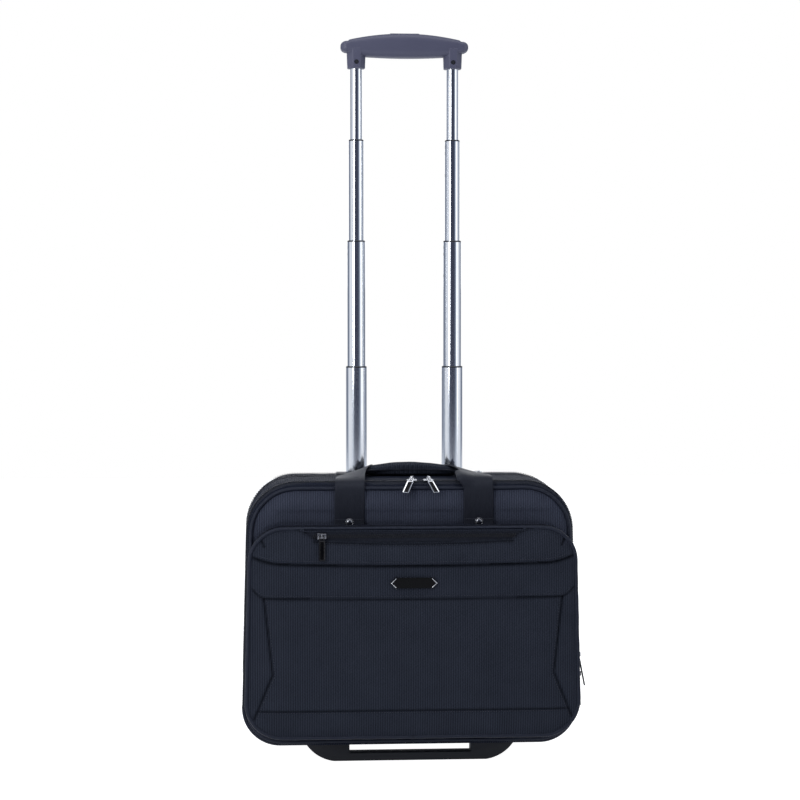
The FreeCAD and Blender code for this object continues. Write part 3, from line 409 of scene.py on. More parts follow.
def bevelled(piece, width, segments, angle=35):
    return worked(piece, "BEVEL", width=width, segments=segments, limit_method="ANGLE",
                  angle_limit=math.radians(angle), harden_normals=False)


def refined(piece, levels):
    return worked(piece, "SUBSURF", levels=levels, render_levels=levels)


def thickened(piece, thickness, offset=-1.0):
    """Give a sheet its thickness: inwards, or to both sides with an offset of 0."""
    return worked(piece, "SOLIDIFY", thickness=thickness, offset=offset)


def moved(piece, change):
    """Move each point by a rule."""
    for vertex in piece.data.vertices:
        vertex.co = change(vertex.co)
    piece.data.update()
    return piece


def turned_to(piece, matrix):
    piece.data.transform(matrix)
    piece.data.update()
    return piece


def smooth(piece, angle):
    activate(piece)
    bpy.ops.object.shade_smooth_by_angle(angle=math.radians(angle))
    return piece


def laid(piece, mark):
    """Lay the weave on a piece: mark gives (across, along) in metres from a point's number and a face."""
    layer = piece.data.uv_layers.get("weave") or piece.data.uv_layers.new(name="weave")
    piece.data.uv_layers.active = layer
    for face in piece.data.polygons:
        for corner in face.loop_indices:
            layer.data[corner].uv = mark(piece.data.loops[corner].vertex_index, face)
    return piece


def woven(piece, rule):
    """Lay the weave by a rule that takes a point and the way that the face looks there."""
    vertices = piece.data.vertices
    return laid(piece, lambda index, face: rule(vertices[index].co, face.normal))


def add_painted_seam_shade(piece, rule):
    """Record the painted shade in and under the seams at each point, which darkens the fabric's colour."""
    depths = [min(max(rule(vertex.co), 0.0), 1.0) for vertex in piece.data.vertices]
    piece.data.attributes.new("hollow", "FLOAT", "POINT").data.foreach_set("value", depths)
    return piece


def flat_weave(point, normal):
    """The weave's place on a face by the way that it faces."""
    x, y, z = abs(normal.x), abs(normal.y), abs(normal.z)
    if y >= x and y >= z:
        return (point.x, point.z)
    if x >= z:
        return (point.y, point.z)
    return (point.x, point.y)


def dressed(piece, material, body, rule, angle):
    """Finish a piece: smooth shading, weave, material and the body that it rides on."""
    smooth(piece, angle)
    if rule:
        woven(piece, rule)
    piece.data.materials.clear()
    piece.data.materials.append(material)
    if body:
        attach(piece, body)
    return piece


def linked(name, mesh):
    piece = bpy.data.objects.new(name, mesh)
    bpy.context.scene.collection.objects.link(piece)
    return piece


def repeated(name, stock, places):
    """One mesh that holds a copy of the stock at each place."""
    points, faces = [], []
    base = [vertex.co.copy() for vertex in stock.data.vertices]
    shapes = [tuple(face.vertices) for face in stock.data.polygons]
    for matrix in places:
        first = len(points)
        points += [matrix @ point for point in base]
        faces += [tuple(first + index for index in shape) for shape in shapes]
    bpy.data.objects.remove(stock)
    mesh = bpy.data.meshes.new(name)
    mesh.from_pydata(points, [], faces)
    return linked(name, mesh)


def merged(name, pieces):
    deselect()
    for piece in pieces:
        piece.select_set(True)
    bpy.context.view_layer.objects.active = pieces[0]
    bpy.ops.object.join()
    pieces[0].name = name
    return pieces[0]


def basis(across, along, facing, place):
    """A matrix that sends X, Y and Z to these three directions, at a place."""
    matrix = Matrix((across, along, facing)).transposed().to_4x4()
    matrix.translation = place
    return matrix


def smoothstep(value):
    value = min(max(value, 0.0), 1.0)
    return value * value * (3 - 2 * value)


def ripple(point, scale, seed=0.0):
    """Smooth noise from about -1 to 1."""
    return noise.noise(Vector((point[0] * scale + seed, point[1] * scale - seed, point[2] * scale + 3.7)))


def ridge(distance, width):
    """A rounded ridge: 1 on a line, falling away on both sides of it."""
    return math.exp(-(distance / width) ** 2)


def flush(facing, y):
    """No step between a piece and its outline."""
    return 0.0


class Outline:
    """A tapered outline with four round corners, seen from the front and in metres."""

    def __init__(self, top, bottom, low, high, round_top, round_bottom):
        self.top, self.bottom, self.low, self.high = top, bottom, low, high
        self.round_top, self.round_bottom = round_top, round_bottom
        self.lean = math.atan2(bottom - top, high - low)
        reach_top = round_top * math.tan(math.pi / 4 - self.lean / 2)
        reach_bottom = round_bottom * math.tan(math.pi / 4 + self.lean / 2)
        self.top_flat = top - reach_top
        self.bottom_flat = bottom - reach_bottom
        self.reach_top, self.reach_bottom = reach_top, reach_bottom
        self.side_top = high - reach_top * math.cos(self.lean)
        self.side_bottom = low + reach_bottom * math.cos(self.lean)
        self.lengths = [self.top_flat, round_top * (math.pi / 2 - self.lean),
                        (self.side_top - self.side_bottom) / math.cos(self.lean),
                        round_bottom * (math.pi / 2 + self.lean), self.bottom_flat]
        self.half_length = sum(self.lengths)

    def inset(self, by):
        return Outline(self.top - by, self.bottom - by, self.low + by, self.high - by,
                       self.round_top - by, self.round_bottom - by)

    def side(self, z):
        return self.bottom + (self.top - self.bottom) * (z - self.low) / (self.high - self.low)

    def reach(self, z):
        """The outline's half width at a height."""
        if z > self.side_top:
            rise = z - (self.high - self.round_top)
            return self.top_flat + math.sqrt(max(self.round_top ** 2 - rise ** 2, 0.0))
        if z < self.side_bottom:
            drop = (self.low + self.round_bottom) - z
            return self.bottom_flat + math.sqrt(max(self.round_bottom ** 2 - drop ** 2, 0.0))
        return self.side(z)

    def point(self, length):
        """The point and outward direction at a length along, from the middle of the top."""
        hand = -1 if length < 0 else 1
        rest = abs(length)
        flat, bend, side, low_bend, _ = self.lengths
        facing = Vector((0, 0, 1))
        if rest <= flat:
            place = Vector((rest, 0, self.high))
        elif rest <= flat + bend:
            turn = (rest - flat) / self.round_top
            facing = Vector((math.sin(turn), 0, math.cos(turn)))
            place = Vector((self.top_flat, 0, self.high - self.round_top)) + facing * self.round_top
        elif rest <= flat + bend + side:
            facing = Vector((math.cos(self.lean), 0, math.sin(self.lean)))
            down = (rest - flat - bend) / side
            z = self.side_top + (self.side_bottom - self.side_top) * down
            place = Vector((self.side(z), 0, z))
        elif rest <= flat + bend + side + low_bend:
            turn = math.pi / 2 - self.lean + (rest - flat - bend - side) / self.round_bottom
            facing = Vector((math.sin(turn), 0, math.cos(turn)))
            place = Vector((self.bottom_flat, 0, self.low + self.round_bottom)) + facing * self.round_bottom
        else:
            facing = Vector((0, 0, -1))
            place = Vector((max(self.half_length - rest, 0.0), 0, self.low))
        place.x *= hand
        facing.x *= hand
        return place, facing

    def along(self, x, z):
        """The length along the outline, from the middle of the top, nearest to a point."""
        hand = -1 if x < 0 else 1
        x = abs(x)
        flat = self.lengths[0]
        if z > self.side_top or (z > (self.high + self.low) / 2 and x < self.top_flat):
            if x <= self.top_flat:
                return hand * x
            turn = math.atan2(x - self.top_flat, max(z - self.high + self.round_top, 1e-6))
            return hand * (flat + min(turn, math.pi / 2) * self.round_top)
        if z < self.side_bottom:
            if x <= self.bottom_flat:
                return hand * (self.half_length - x)
            turn = math.atan2(x - self.bottom_flat, max(self.low + self.round_bottom - z, 1e-6))
            return hand * (self.half_length - self.bottom_flat - min(turn, math.pi / 2) * self.round_bottom)
        return hand * self.length_at(z)

    def depth_inside(self, x, z):
        """How far a point is inside the outline."""
        radius = self.round_top if z > (self.high + self.low) / 2 else self.round_bottom
        over_x = abs(x) - (self.side(z) - radius)
        middle = (self.high + self.low) / 2
        over_z = abs(z - middle) - ((self.high - self.low) / 2 - radius)
        outside = math.hypot(max(over_x, 0.0), max(over_z, 0.0)) + min(max(over_x, over_z), 0.0)
        return radius - outside

    def length_at(self, z):
        """The length along at which the side reaches a height."""
        return self.lengths[0] + self.lengths[1] + (self.side_top - z) / math.cos(self.lean)


# Half width at the top and the bottom, lowest and highest point, and the two turns of the corners.
CASE = Outline(0.210, 0.219, 0.024, 0.366, 0.064, 0.048)
FRONT = Outline(0.205, 0.214, 0.029, 0.358, 0.058, 0.046)
POCKET = Outline(0.207, 0.214, 0.0435, 0.311, 0.043, 0.046)

# The piping's radius, the cloth's thickness, and the height at which the zippers stop on each side.
PIPE = 0.00275
CLOTH = 0.0024
ZIP_END = 0.075


def front_gap(facing, y):
    """How far the front section's wall lies inside the main outline at a depth."""
    corner = 0.00115 * (2 * facing.x * min(facing.z, 0.0)) ** 2
    wall_y, fade = -0.0455, 0.0065
    return (0.00225 + 0.0030 * max(facing.z, 0.0) + corner) * (1 - smoothstep((y - wall_y) / fade))


def ring_weave(outline):
    return lambda point, normal: (outline.along(point.x, point.z), point.y)


def ring(name, outline, depths, spacing=0.006):
    """The outline's loop at the first depth, drawn out through the others."""
    piece = added(name, bpy.ops.mesh.primitive_plane_add, size=2, rotation=UPRIGHT)
    for vertex in piece.data.vertices:
        high = vertex.co.z > 0
        half = outline.top if high else outline.bottom
        vertex.co = (math.copysign(half, vertex.co.x), depths[0], outline.high if high else outline.low)
    bpy.ops.object.mode_set(mode="EDIT")
    for above, reach, radius in ((True, outline.reach_top, outline.round_top),
                                 (False, outline.reach_bottom, outline.round_bottom)):
        mesh = bmesh.from_edit_mesh(piece.data)
        bpy.ops.mesh.select_all(action="DESELECT")
        limit = outline.high - MM if above else outline.low + MM
        for vertex in mesh.verts:
            vertex.select = vertex.co.z > limit if above else vertex.co.z < limit
        mesh.select_flush(True)
        mesh.select_flush(False)
        bmesh.update_edit_mesh(piece.data)
        bpy.ops.mesh.bevel(offset=reach, offset_type="OFFSET", affect="VERTICES", profile=0.5,
                           segments=max(int(radius * math.pi / 2 / spacing), 6), clamp_overlap=False)
    for _ in range(4):
        mesh = bmesh.from_edit_mesh(piece.data)
        longest = max(mesh.edges, key=lambda edge: edge.calc_length())
        if longest.calc_length() < spacing * 2:
            break
        for thing in (*mesh.edges, *mesh.verts):
            thing.select = False
        for thing in (longest, *longest.verts):
            thing.select = True
        cuts = int(longest.calc_length() / spacing)
        bmesh.update_edit_mesh(piece.data)
        bpy.ops.mesh.subdivide(number_cuts=cuts)
    bpy.ops.mesh.select_all(action="SELECT")
    bpy.ops.mesh.delete(type="ONLY_FACE")
    bpy.ops.mesh.select_all(action="SELECT")
    for before, after in zip(depths, depths[1:]):
        bpy.ops.mesh.extrude_region_move(TRANSFORM_OT_translate={"value": (0, after - before, 0)})
    bpy.ops.object.mode_set(mode="OBJECT")
    return piece


def outward_at(outline, point):
    return outline.point(outline.along(point.x, point.z))[1]


def spread(first, last, count):
    return [first + (last - first) * index / (count - 1) for index in range(count)]


def cord_round(name, outline, y, radius, body, nodes):
    """Piping: a covered cord along the outline, with the slight waviness of sewn piping."""
    piece = ring(name, outline, [y], 0.004)
    moved(piece, lambda point: point + outward_at(outline, point) * 0.0004 * ripple(point, 60))
    activate(piece)
    bpy.ops.object.convert(target="CURVE")
    piece = bpy.context.object
    piece.data.bevel_depth = radius
    piece.data.bevel_resolution = 4
    bpy.ops.object.convert(target="MESH")
    piece = bpy.context.object

    def along_cord(point, normal):
        return (outline.along(point.x, point.z), math.atan2(normal.y, normal.z + normal.x) * radius)

    outwards(piece)
    dressed(piece, PIPING, body, along_cord, 60)
    for node in nodes:
        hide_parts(node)
    return piece


def panel(name, outline, y, columns, rows):
    """A grid that fills the outline, facing the front."""
    piece = grid(name, columns, rows, UPRIGHT)

    def fill(point):
        share = (point.z + 1) / 2
        even = 0.5 - 0.5 * math.cos(math.pi * share)
        z = outline.low + (outline.high - outline.low) * (0.55 * share + 0.45 * even)
        return Vector((point.x * outline.reach(z), y, z))

    return moved(piece, fill)


def line_distance(x, z, corners):
    """How far a point is from a run of straight lines."""
    nearest = 1.0
    for (x0, z0), (x1, z1) in zip(corners, corners[1:]):
        length = (x1 - x0) ** 2 + (z1 - z0) ** 2
        share = min(max(((x - x0) * (x1 - x0) + (z - z0) * (z1 - z0)) / length, 0.0), 1.0)
        nearest = min(nearest, math.hypot(x - x0 - share * (x1 - x0), z - z0 - share * (z1 - z0)))
    return nearest


def stitched(name, points, facings, body, pitch=0.0034, length=0.0024):
    """A row of stitches along a run of points."""
    thick, lift = 0.00042, 0.0002
    stock = added(name + "_stock", bpy.ops.mesh.primitive_uv_sphere_add, segments=6, ring_count=4, radius=1)
    places = []
    carried = 0.0
    for index in range(len(points) - 1):
        start, end = points[index], points[index + 1]
        step = end - start
        if step.length < 1e-7:
            continue
        while carried < step.length:
            share = carried / step.length
            facing = facings[index].lerp(facings[index + 1], share).normalized()
            along = (step - facing * step.dot(facing)).normalized()
            matrix = basis(along, facing.cross(along), facing, start + step * share + facing * lift)
            places.append(matrix @ Matrix.Diagonal((length / 2, thick, thick * 0.8, 1)))
            carried += pitch
        carried -= step.length
    piece = repeated(name, stock, places)
    return dressed(piece, THREAD, body, flat_weave, 80)


def softened(node, width, material, segments=2):
    """A CAD piece with its sharp edges eased."""
    source = frame["nodes"][node]
    piece = edited(linked(node + "_eased", source.data.copy()),
                   lambda: bpy.ops.mesh.remove_doubles(threshold=1e-6),
                   lambda: bpy.ops.mesh.dissolve_limited(angle_limit=math.radians(0.5)))
    bevelled(piece, width, segments, 30)
    dressed(piece, material, source["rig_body"], None, 35)
    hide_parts(node)
    return piece


def finish_node(node, material):
    piece = frame["nodes"][node]
    piece.data.materials.clear()
    piece.data.materials.append(material)
    for face in piece.data.polygons:
        face.material_index = 0
    return piece


# ---------------------------------------------------------------- camera, floor and light

def aimed(name, data, place, target):
    """A camera or a light at a place, turned to a target."""
    thing = linked(name, data)
    thing.location = place
    thing.rotation_euler = (Vector(target) - Vector(place)).to_track_quat("-Z", "Y").to_euler()
    return thing


def look_from(place, target, lens):
    data = bpy.data.cameras.new("camera")
    data.lens = lens
    data.sensor_width = 36.0
    bpy.context.scene.camera = aimed("camera", data, place, target)


def soft_light(name, place, target, size, power):
    data = bpy.data.lights.new(name, "AREA")
    data.shape = "RECTANGLE"
    data.size, data.size_y = size
    data.energy = power
    aimed(name, data, place, target)


def studio():
    look_from((-0.1856, -2.692, 0.5883), (-0.0176, -0.100, 0.4748), 92.28)
    bpy.context.scene.view_settings.view_transform = "Standard"
    world = bpy.data.worlds.new("studio")
    bpy.context.scene.world = world
    world.use_nodes = True
    nodes = Nodes(world.node_tree)
    background = world.node_tree.nodes["Background"]
    facing = nodes.node("ShaderNodeTexCoord", {}, {}, "Generated")
    ahead = nodes.node("ShaderNodeSeparateXYZ", {}, {0: facing}, "Y") * 0.5 + 0.5
    room = nodes.node("ShaderNodeValToRGB", {"stops": [
        (0.0, (0.05, 0.055, 0.085)), (0.045, (0.06, 0.07, 0.11)), (0.11, (0.22, 0.26, 0.34)),
        (0.19, (0.85, 0.87, 0.92)), (0.52, (0.95, 0.96, 1.0)), (0.66, (0.42, 0.46, 0.55)),
        (0.80, (0.12, 0.14, 0.19)), (0.93, (0.30, 0.33, 0.40)), (1.0, (0.60, 0.62, 0.68)),
    ]}, {0: ahead}, "Color")
    seen = nodes.node("ShaderNodeLightPath", {}, {}, "Is Camera Ray")
    nodes.wire_to(background, 0, nodes.blended(seen, room, (1.0, 1.0, 1.0)))

    floor = added("floor", bpy.ops.mesh.primitive_plane_add, size=9, location=(0, 0, -0.0004))
    pale = Finish("pale_floor", Base_Color=(0.50, 0.50, 0.50), Roughness=0.7, Emission_Strength=1.0)
    seen = pale.node("ShaderNodeLightPath", {}, {}, "Is Camera Ray")
    pale.wire("Emission Color", pale.blended(seen, (0.42, 0.44, 0.48), (1.0, 1.0, 1.0)))
    floor.data.materials.append(pale.material)

    soft_light("key", (-1.15, -1.35, 1.05), (0.05, 0, 0.30), (0.5, 1.3), 15)
    soft_light("fill", (2.2, -1.1, 1.3), (0, 0, 0.45), (0.7, 2.2), 4)
    soft_light("top", (0.0, -0.5, 2.7), (0, 0, 0.3), (2.0, 1.2), 12)
    soft_light("back", (0.3, 2.4, 1.4), (0, 0, 0.5), (2.4, 1.6), 12)


# ---------------------------------------------------------------- body of the case

def gusset(name, outline, first, last, rows, crown, wrinkle, body, nodes, lift=flush):
    """A fabric wall round the outline, slightly crowned between its seams and lightly wrinkled."""
    piece = ring(name, outline.inset(0.0004), spread(first, last, rows))
    middle, half = (first + last) / 2, abs(last - first) / 2

    def drape(point):
        facing = outward_at(outline, point)
        share = 1 - ((point.y - middle) / half) ** 2
        length = outline.along(point.x, point.z)
        creases = ripple((length * 0.35, point.y * 1.5, 0.0), 55, 2.0) * wrinkle
        creases += ripple((length, point.y, 0.0), 34, 5.0) * wrinkle * 0.6
        rise = crown * share + creases * (0.25 + 0.75 * max(share, 0.0))
        return point + facing * (rise * (1 - 0.85 * max(-facing.z, 0.0)) + lift(facing, point.y))

    moved(piece, drape)
    outwards(piece)
    thickened(piece, CLOTH)
    # The walls in the darkest copy of the fabric: painted shade.
    dressed(piece, FABRIC_PAINTED_SHADE_DEEP, body, ring_weave(outline), 50)
    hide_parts(*nodes)
    return piece


def seam_round(name, outline, y, body, lift, z_from=None):
    """A row of topstitching round the outline, down to a height on each side if one is given."""
    end = outline.half_length - 0.001 if z_from is None else outline.length_at(z_from)
    steps = int(2 * end / 0.004)
    points, facings = [], []
    for index in range(steps + 1):
        place, facing = outline.point(-end + 2 * end * index / steps)
        place.y = y
        points.append(place + facing * lift)
        facings.append(facing)
    return stitched(name, points, facings, body)


def zipper_row(name, outline, y, side, end, body, nodes=(), tape=0.006, rise=0.0006,
               gap=flush):
    """Half a coil zipper round the outline: its tape and its row of coils."""
    step = 0.0022
    count = int(2 * end / step)
    stock = block(name + "_stock", (1, 1, 1))
    moved(stock, lambda point: Vector((point.x * (0.9 if point.z > 0 else 1.25), point.y, point.z)))
    bevelled(stock, 0.22, 1, 30)
    places = []
    for index in range(count + 1):
        place, facing = outline.point(-end + 2 * end * index / count)
        place.y = y + side * 0.0011
        along = facing.cross(Vector((0, 1, 0)))
        matrix = basis(along, facing.cross(along), facing, place + facing * (rise + 0.0005))
        places.append(matrix @ Matrix.Diagonal((0.0013, 0.0026, 0.0013, 1)))
    coils = repeated(name + "_coils", stock, places)
    dressed(coils, COIL, body, None, 50)

    strip = grid(name + "_tape", max(count // 3, 8), 4)

    def lay(point):
        place, facing = outline.point(point.x * end)
        across = (point.y + 1) / 2
        place.y = y + side * (0.0004 + across * tape)
        return place + facing * (rise - 0.0002 - 0.0007 * smoothstep(across * 2 - 1) - gap(facing, place.y))

    moved(strip, lay)
    thickened(strip, 0.0006, 0.0)
    dressed(strip, ZIP_TAPE, body, ring_weave(outline), 50)
    for node in nodes:
        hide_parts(node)
        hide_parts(node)
    return strip


def hinge_strip(name, outline, y, half, end_z, gap=flush):
    """The unzipped fabric below the zipper, along the line where a section swings open."""
    start = outline.length_at(end_z)
    span = outline.half_length - start
    piece = grid(name, 120, 12)

    def lay(point):
        reach = start + span * (1 - abs(point.x))
        place, facing = outline.point(math.copysign(max(reach, 0.0), point.x or 1.0))
        if abs(point.x) < 1e-4:
            place, facing = Vector((0, 0, outline.low)), Vector((0, 0, -1))
        place.y = y + point.y * half
        proud = 0.0002 + 0.0009 * smoothstep((1 - abs(point.y)) / 0.35)
        return place + facing * (proud - gap(facing, place.y))

    moved(piece, lay)
    thickened(piece, 0.0008, -1.0)
    # The bend in the darkest copy of the fabric: painted shade.
    dressed(piece, FABRIC_PAINTED_SHADE_DEEP, None, ring_weave(outline), 50)
    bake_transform(piece)
    return piece


def main_body():
    box_low, box_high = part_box("main_gusset")
    front, back = box_low.y, box_high.y
    main = gusset("case_walls", CASE, front, back + 0.0006, 34, 0.0016, 0.0011, "case_body", ["main_gusset"])
    cut_wells(main)
    cut_with(main, [cylinder("neck_tool", 48, 0.0171, 0.030, (hand * TUBE_X, 0.082, 0.362))
                    for _, hand in HANDS])
    cord_round("back_cord", CASE.inset(PIPE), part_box("back_piping")[0].y + PIPE, PIPE, "case_body",
               ["back_piping"])
    seam_round("rear_topstitch", CASE, back - 0.006, "case_body", 0.0012)
    seam_round("front_topstitch", CASE, front + 0.0105, "case_body", 0.0010, ZIP_END)


def cut_with(piece, tools):
    """Cut tools out of a piece and throw them away."""
    for tool in tools:
        worked(piece, "BOOLEAN", operation="DIFFERENCE", object=tool, solver="EXACT")
        bpy.data.objects.remove(tool)
    return piece


def cut_wells(piece):
    """Open a fabric piece round the two wheel housings."""
    low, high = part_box("wheel_housings")
    inner, behind, below = 0.1235, 0.05, 0.03
    for hand in (1, -1):
        size = (high.x - inner + 0.001, high.y - low.y + behind, high.z - low.z + below)
        place = (hand * (high.x + inner) / 2, (low.y + high.y + behind) / 2, (low.z + high.z - below) / 2)
        cut_with(piece, [block("well_tool", size, place)])
    return piece


def back_panel():
    """The back: a padded panel with two upright channels where the handle runs and a kick band."""
    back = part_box("back_panel")[1].y
    outline = CASE.inset(2 * PIPE - 0.0008)
    piece = panel("back_cover", outline, back, 150, 120)
    band, seam_width = 0.105, 0.0016

    def crown(point):
        inside = outline.depth_inside(point.x, point.z)
        rise = 0.0045 * smoothstep(inside / 0.05)
        rise += 0.0016 * ridge(abs(point.x) - TUBE_X, 0.017) * smoothstep(inside / 0.03)
        for seam in (0.040, 0.090):
            rise -= 0.0014 * ridge(abs(point.x) - seam, seam_width)
        rise -= 0.0016 * ridge(point.z - band, seam_width)
        rise += 0.0006 * ripple(point, 26, 4.0)
        return Vector((point.x, back - 0.0035 + rise, point.z))

    moved(piece, crown)
    edited(piece, bpy.ops.mesh.flip_normals)
    thickened(piece, 0.003)
    cut_wells(piece)
    dressed(piece, FABRIC, "case_body", flat_weave, 50)
    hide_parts("back_panel")
    rows = [[(x, z) for z in spread(0.112, 0.345, 60)] for x in (-0.0925, -0.0375, 0.0375, 0.0925)]
    rows.append([(x, band + 0.0025) for x in spread(-0.205, 0.205, 90)])
    for index, row in enumerate(rows):
        stitched_on(piece, "back_stitch_%d" % index, row, TO_BACK, "case_body")


def surface_y(piece, x, z, side):
    """The depth of a piece's face as met from the back or, with side -1, from the front."""
    hit, place, _, _ = piece.ray_cast(Vector((x, side * 0.5, z)), Vector((0, -side, 0)))
    return place.y if hit else 0.0


def stitched_on(piece, name, row, facing, body):
    """A row of stitches on a piece's front or back face, through places given as (x, z)."""
    points = [Vector((x, surface_y(piece, x, z, facing.y), z)) for x, z in row]
    stitched(name, points, [facing] * len(points), body)


# ---------------------------------------------------------------- front section

def front_section():
    low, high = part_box("front_gusset")
    outline = FRONT.inset(-PIPE)
    gusset("front_walls", outline, low.y - 0.001, high.y, 10, 0.0006, 0.0007, "front_section",
           ["front_gusset"], lambda facing, y: front_gap(facing, -1.0) - front_gap(facing, y))
    cord_round("front_cord", FRONT, -0.048, PIPE, "front_section", ["front_piping"])
    seam_round("front_cord_stitch", outline, low.y + 0.0012, "front_section", 0.0014)
    border = FRONT.inset(PIPE - 0.001)
    piece = panel("front_cover", border, -0.050, 150, 120)

    def crown(point):
        inside = border.depth_inside(point.x, point.z)
        rise = 0.0018 * smoothstep(inside / 0.02) + 0.0005 * ripple(point, 30, 8.0)
        if point.z > 0.33:
            rise += 0.0008 * smoothstep(inside / 0.02) * (1 + ripple(point, 18, 1.0))
        over = POCKET.inset(-0.002).depth_inside(point.x, point.z)
        rise -= 0.0016 * smoothstep(over / 0.006 + 0.5)
        return Vector((point.x, -0.0486 - rise, point.z))

    moved(piece, crown)
    thickened(piece, 0.002)
    dressed(piece, FABRIC, "front_section", flat_weave, 50)
    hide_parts("front_panel")
    return piece


def seam_one(x):
    """Height of the seam above the label band."""
    over = max(abs(x) - 0.167, 0.0)
    return 0.265 + 0.003 * (x / 0.167) ** 2 + 4.98 * over * over


def seam_two(x):
    """Height of the seam below the label band."""
    over = max(abs(x) - 0.187, 0.0)
    return 0.2225 + 0.0015 * (x / 0.187) ** 2 + 34 * over * over


def lapped(above, proud, fade):
    """The step at a lapped seam: the upper cloth stands proud and a groove runs below it."""
    if above > 0:
        return -proud * smoothstep(above / 0.0012) * math.exp(-above / fade)
    return 0.0016 * ridge(above, 0.0018)


BOTTOM_SEAM = 0.080
DART = [(0.1940, 0.2975), (0.1895, 0.2885)]
WEDGE = [(0.1905, 0.2235), (0.1795, 0.126), (0.2035, 0.068)]
SLASH_LOW, SLASH_HIGH = 0.2962, 0.3072
SLASH_MIDDLE = (SLASH_LOW + SLASH_HIGH) / 2


def slash_half(z):
    return 0.124 + 0.015 * (z - SLASH_LOW) / (SLASH_HIGH - SLASH_LOW)


def slash_edge(x):
    """Height of the opening's lower edge, which sags in the middle."""
    return SLASH_LOW + 0.0008 - 0.0034 * max(1 - (x / 0.118) ** 2, 0.0)


def in_slash(x, z):
    """How far a point is inside the slanted pocket opening, or outside it with a minus sign."""
    return min(slash_half(z) - abs(x), z - slash_edge(x), SLASH_HIGH - z)


def seams_near(x, z):
    """Distance to the nearest seam of the pocket's face."""
    nearest = min(abs(z - seam_one(x)), abs(z - seam_two(x)))
    if z < seam_two(x):
        nearest = min(nearest, line_distance(abs(x), z, WEDGE))
    if abs(x) < 0.199:
        nearest = min(nearest, abs(z - BOTTOM_SEAM))
    return nearest


def painted_shadow_below_lap(above, width):
    """The painted shadow just under a lapped seam."""
    return ridge(above + 0.6 * width, width)


def face_painted_seam_shade(point):
    """How much painted shade a point of the pocket's face gets, in and under its seams, dart and wedge lines
    and below its opening.
    """
    x, z = point.x, point.z
    dark = painted_shadow_below_lap(z - seam_one(x), 0.0022) + 0.8 * painted_shadow_below_lap(z - seam_two(x), 0.0015)
    if z < seam_two(x):
        dark = max(dark, ridge(line_distance(abs(x), z, WEDGE), 0.0013))
    if abs(x) < 0.1985:
        dark = max(dark, 0.85 * painted_shadow_below_lap(z - BOTTOM_SEAM, 0.0012))
    dark = max(dark, ridge(line_distance(abs(x), z, DART), 0.0012))
    if abs(x) < 0.128:
        dark = max(dark, 0.9 * ridge(z - slash_edge(x) + 0.0022, 0.0016))
    return dark


def swollen(piece, held, cap, pressure, frames):
    """Fill a piece with cloth pressure between the points that are held, moving none further than cap."""
    before = [vertex.co.copy() for vertex in piece.data.vertices]
    pins = piece.vertex_groups.new(name="held")
    for vertex in piece.data.vertices:
        weight = held(vertex.co)
        if weight > 0:
            pins.add([vertex.index], weight, "REPLACE")
    cloth = piece.modifiers.new("fabric", "CLOTH")
    for words, setting in {
            "quality": 6, "mass": 0.3, "tension_stiffness": 25, "compression_stiffness": 25,
            "shear_stiffness": 10, "bending_stiffness": 1.5, "use_pressure": True,
            "uniform_pressure_force": pressure, "vertex_group_mass": "held", "pin_stiffness": 10}.items():
        setattr(cloth.settings, words, setting)
    cloth.settings.effector_weights.gravity = 0
    cloth.collision_settings.use_self_collision = False
    scene = bpy.context.scene
    cloth.point_cache.frame_start = 1
    cloth.point_cache.frame_end = frames
    for step in range(1, frames + 1):
        scene.frame_set(step)
    bpy.context.view_layer.update()
    final = piece.evaluated_get(bpy.context.evaluated_depsgraph_get()).to_mesh()
    after = [vertex.co.copy() for vertex in final.vertices]
    piece.modifiers.remove(cloth)
    piece.vertex_groups.clear()
    scene.frame_set(1)
    for vertex, start, end in zip(piece.data.vertices, before, after):
        shift = end - start
        if shift.length > cap:
            shift *= cap / shift.length
        vertex.co = start + shift
    piece.data.update()
    return piece


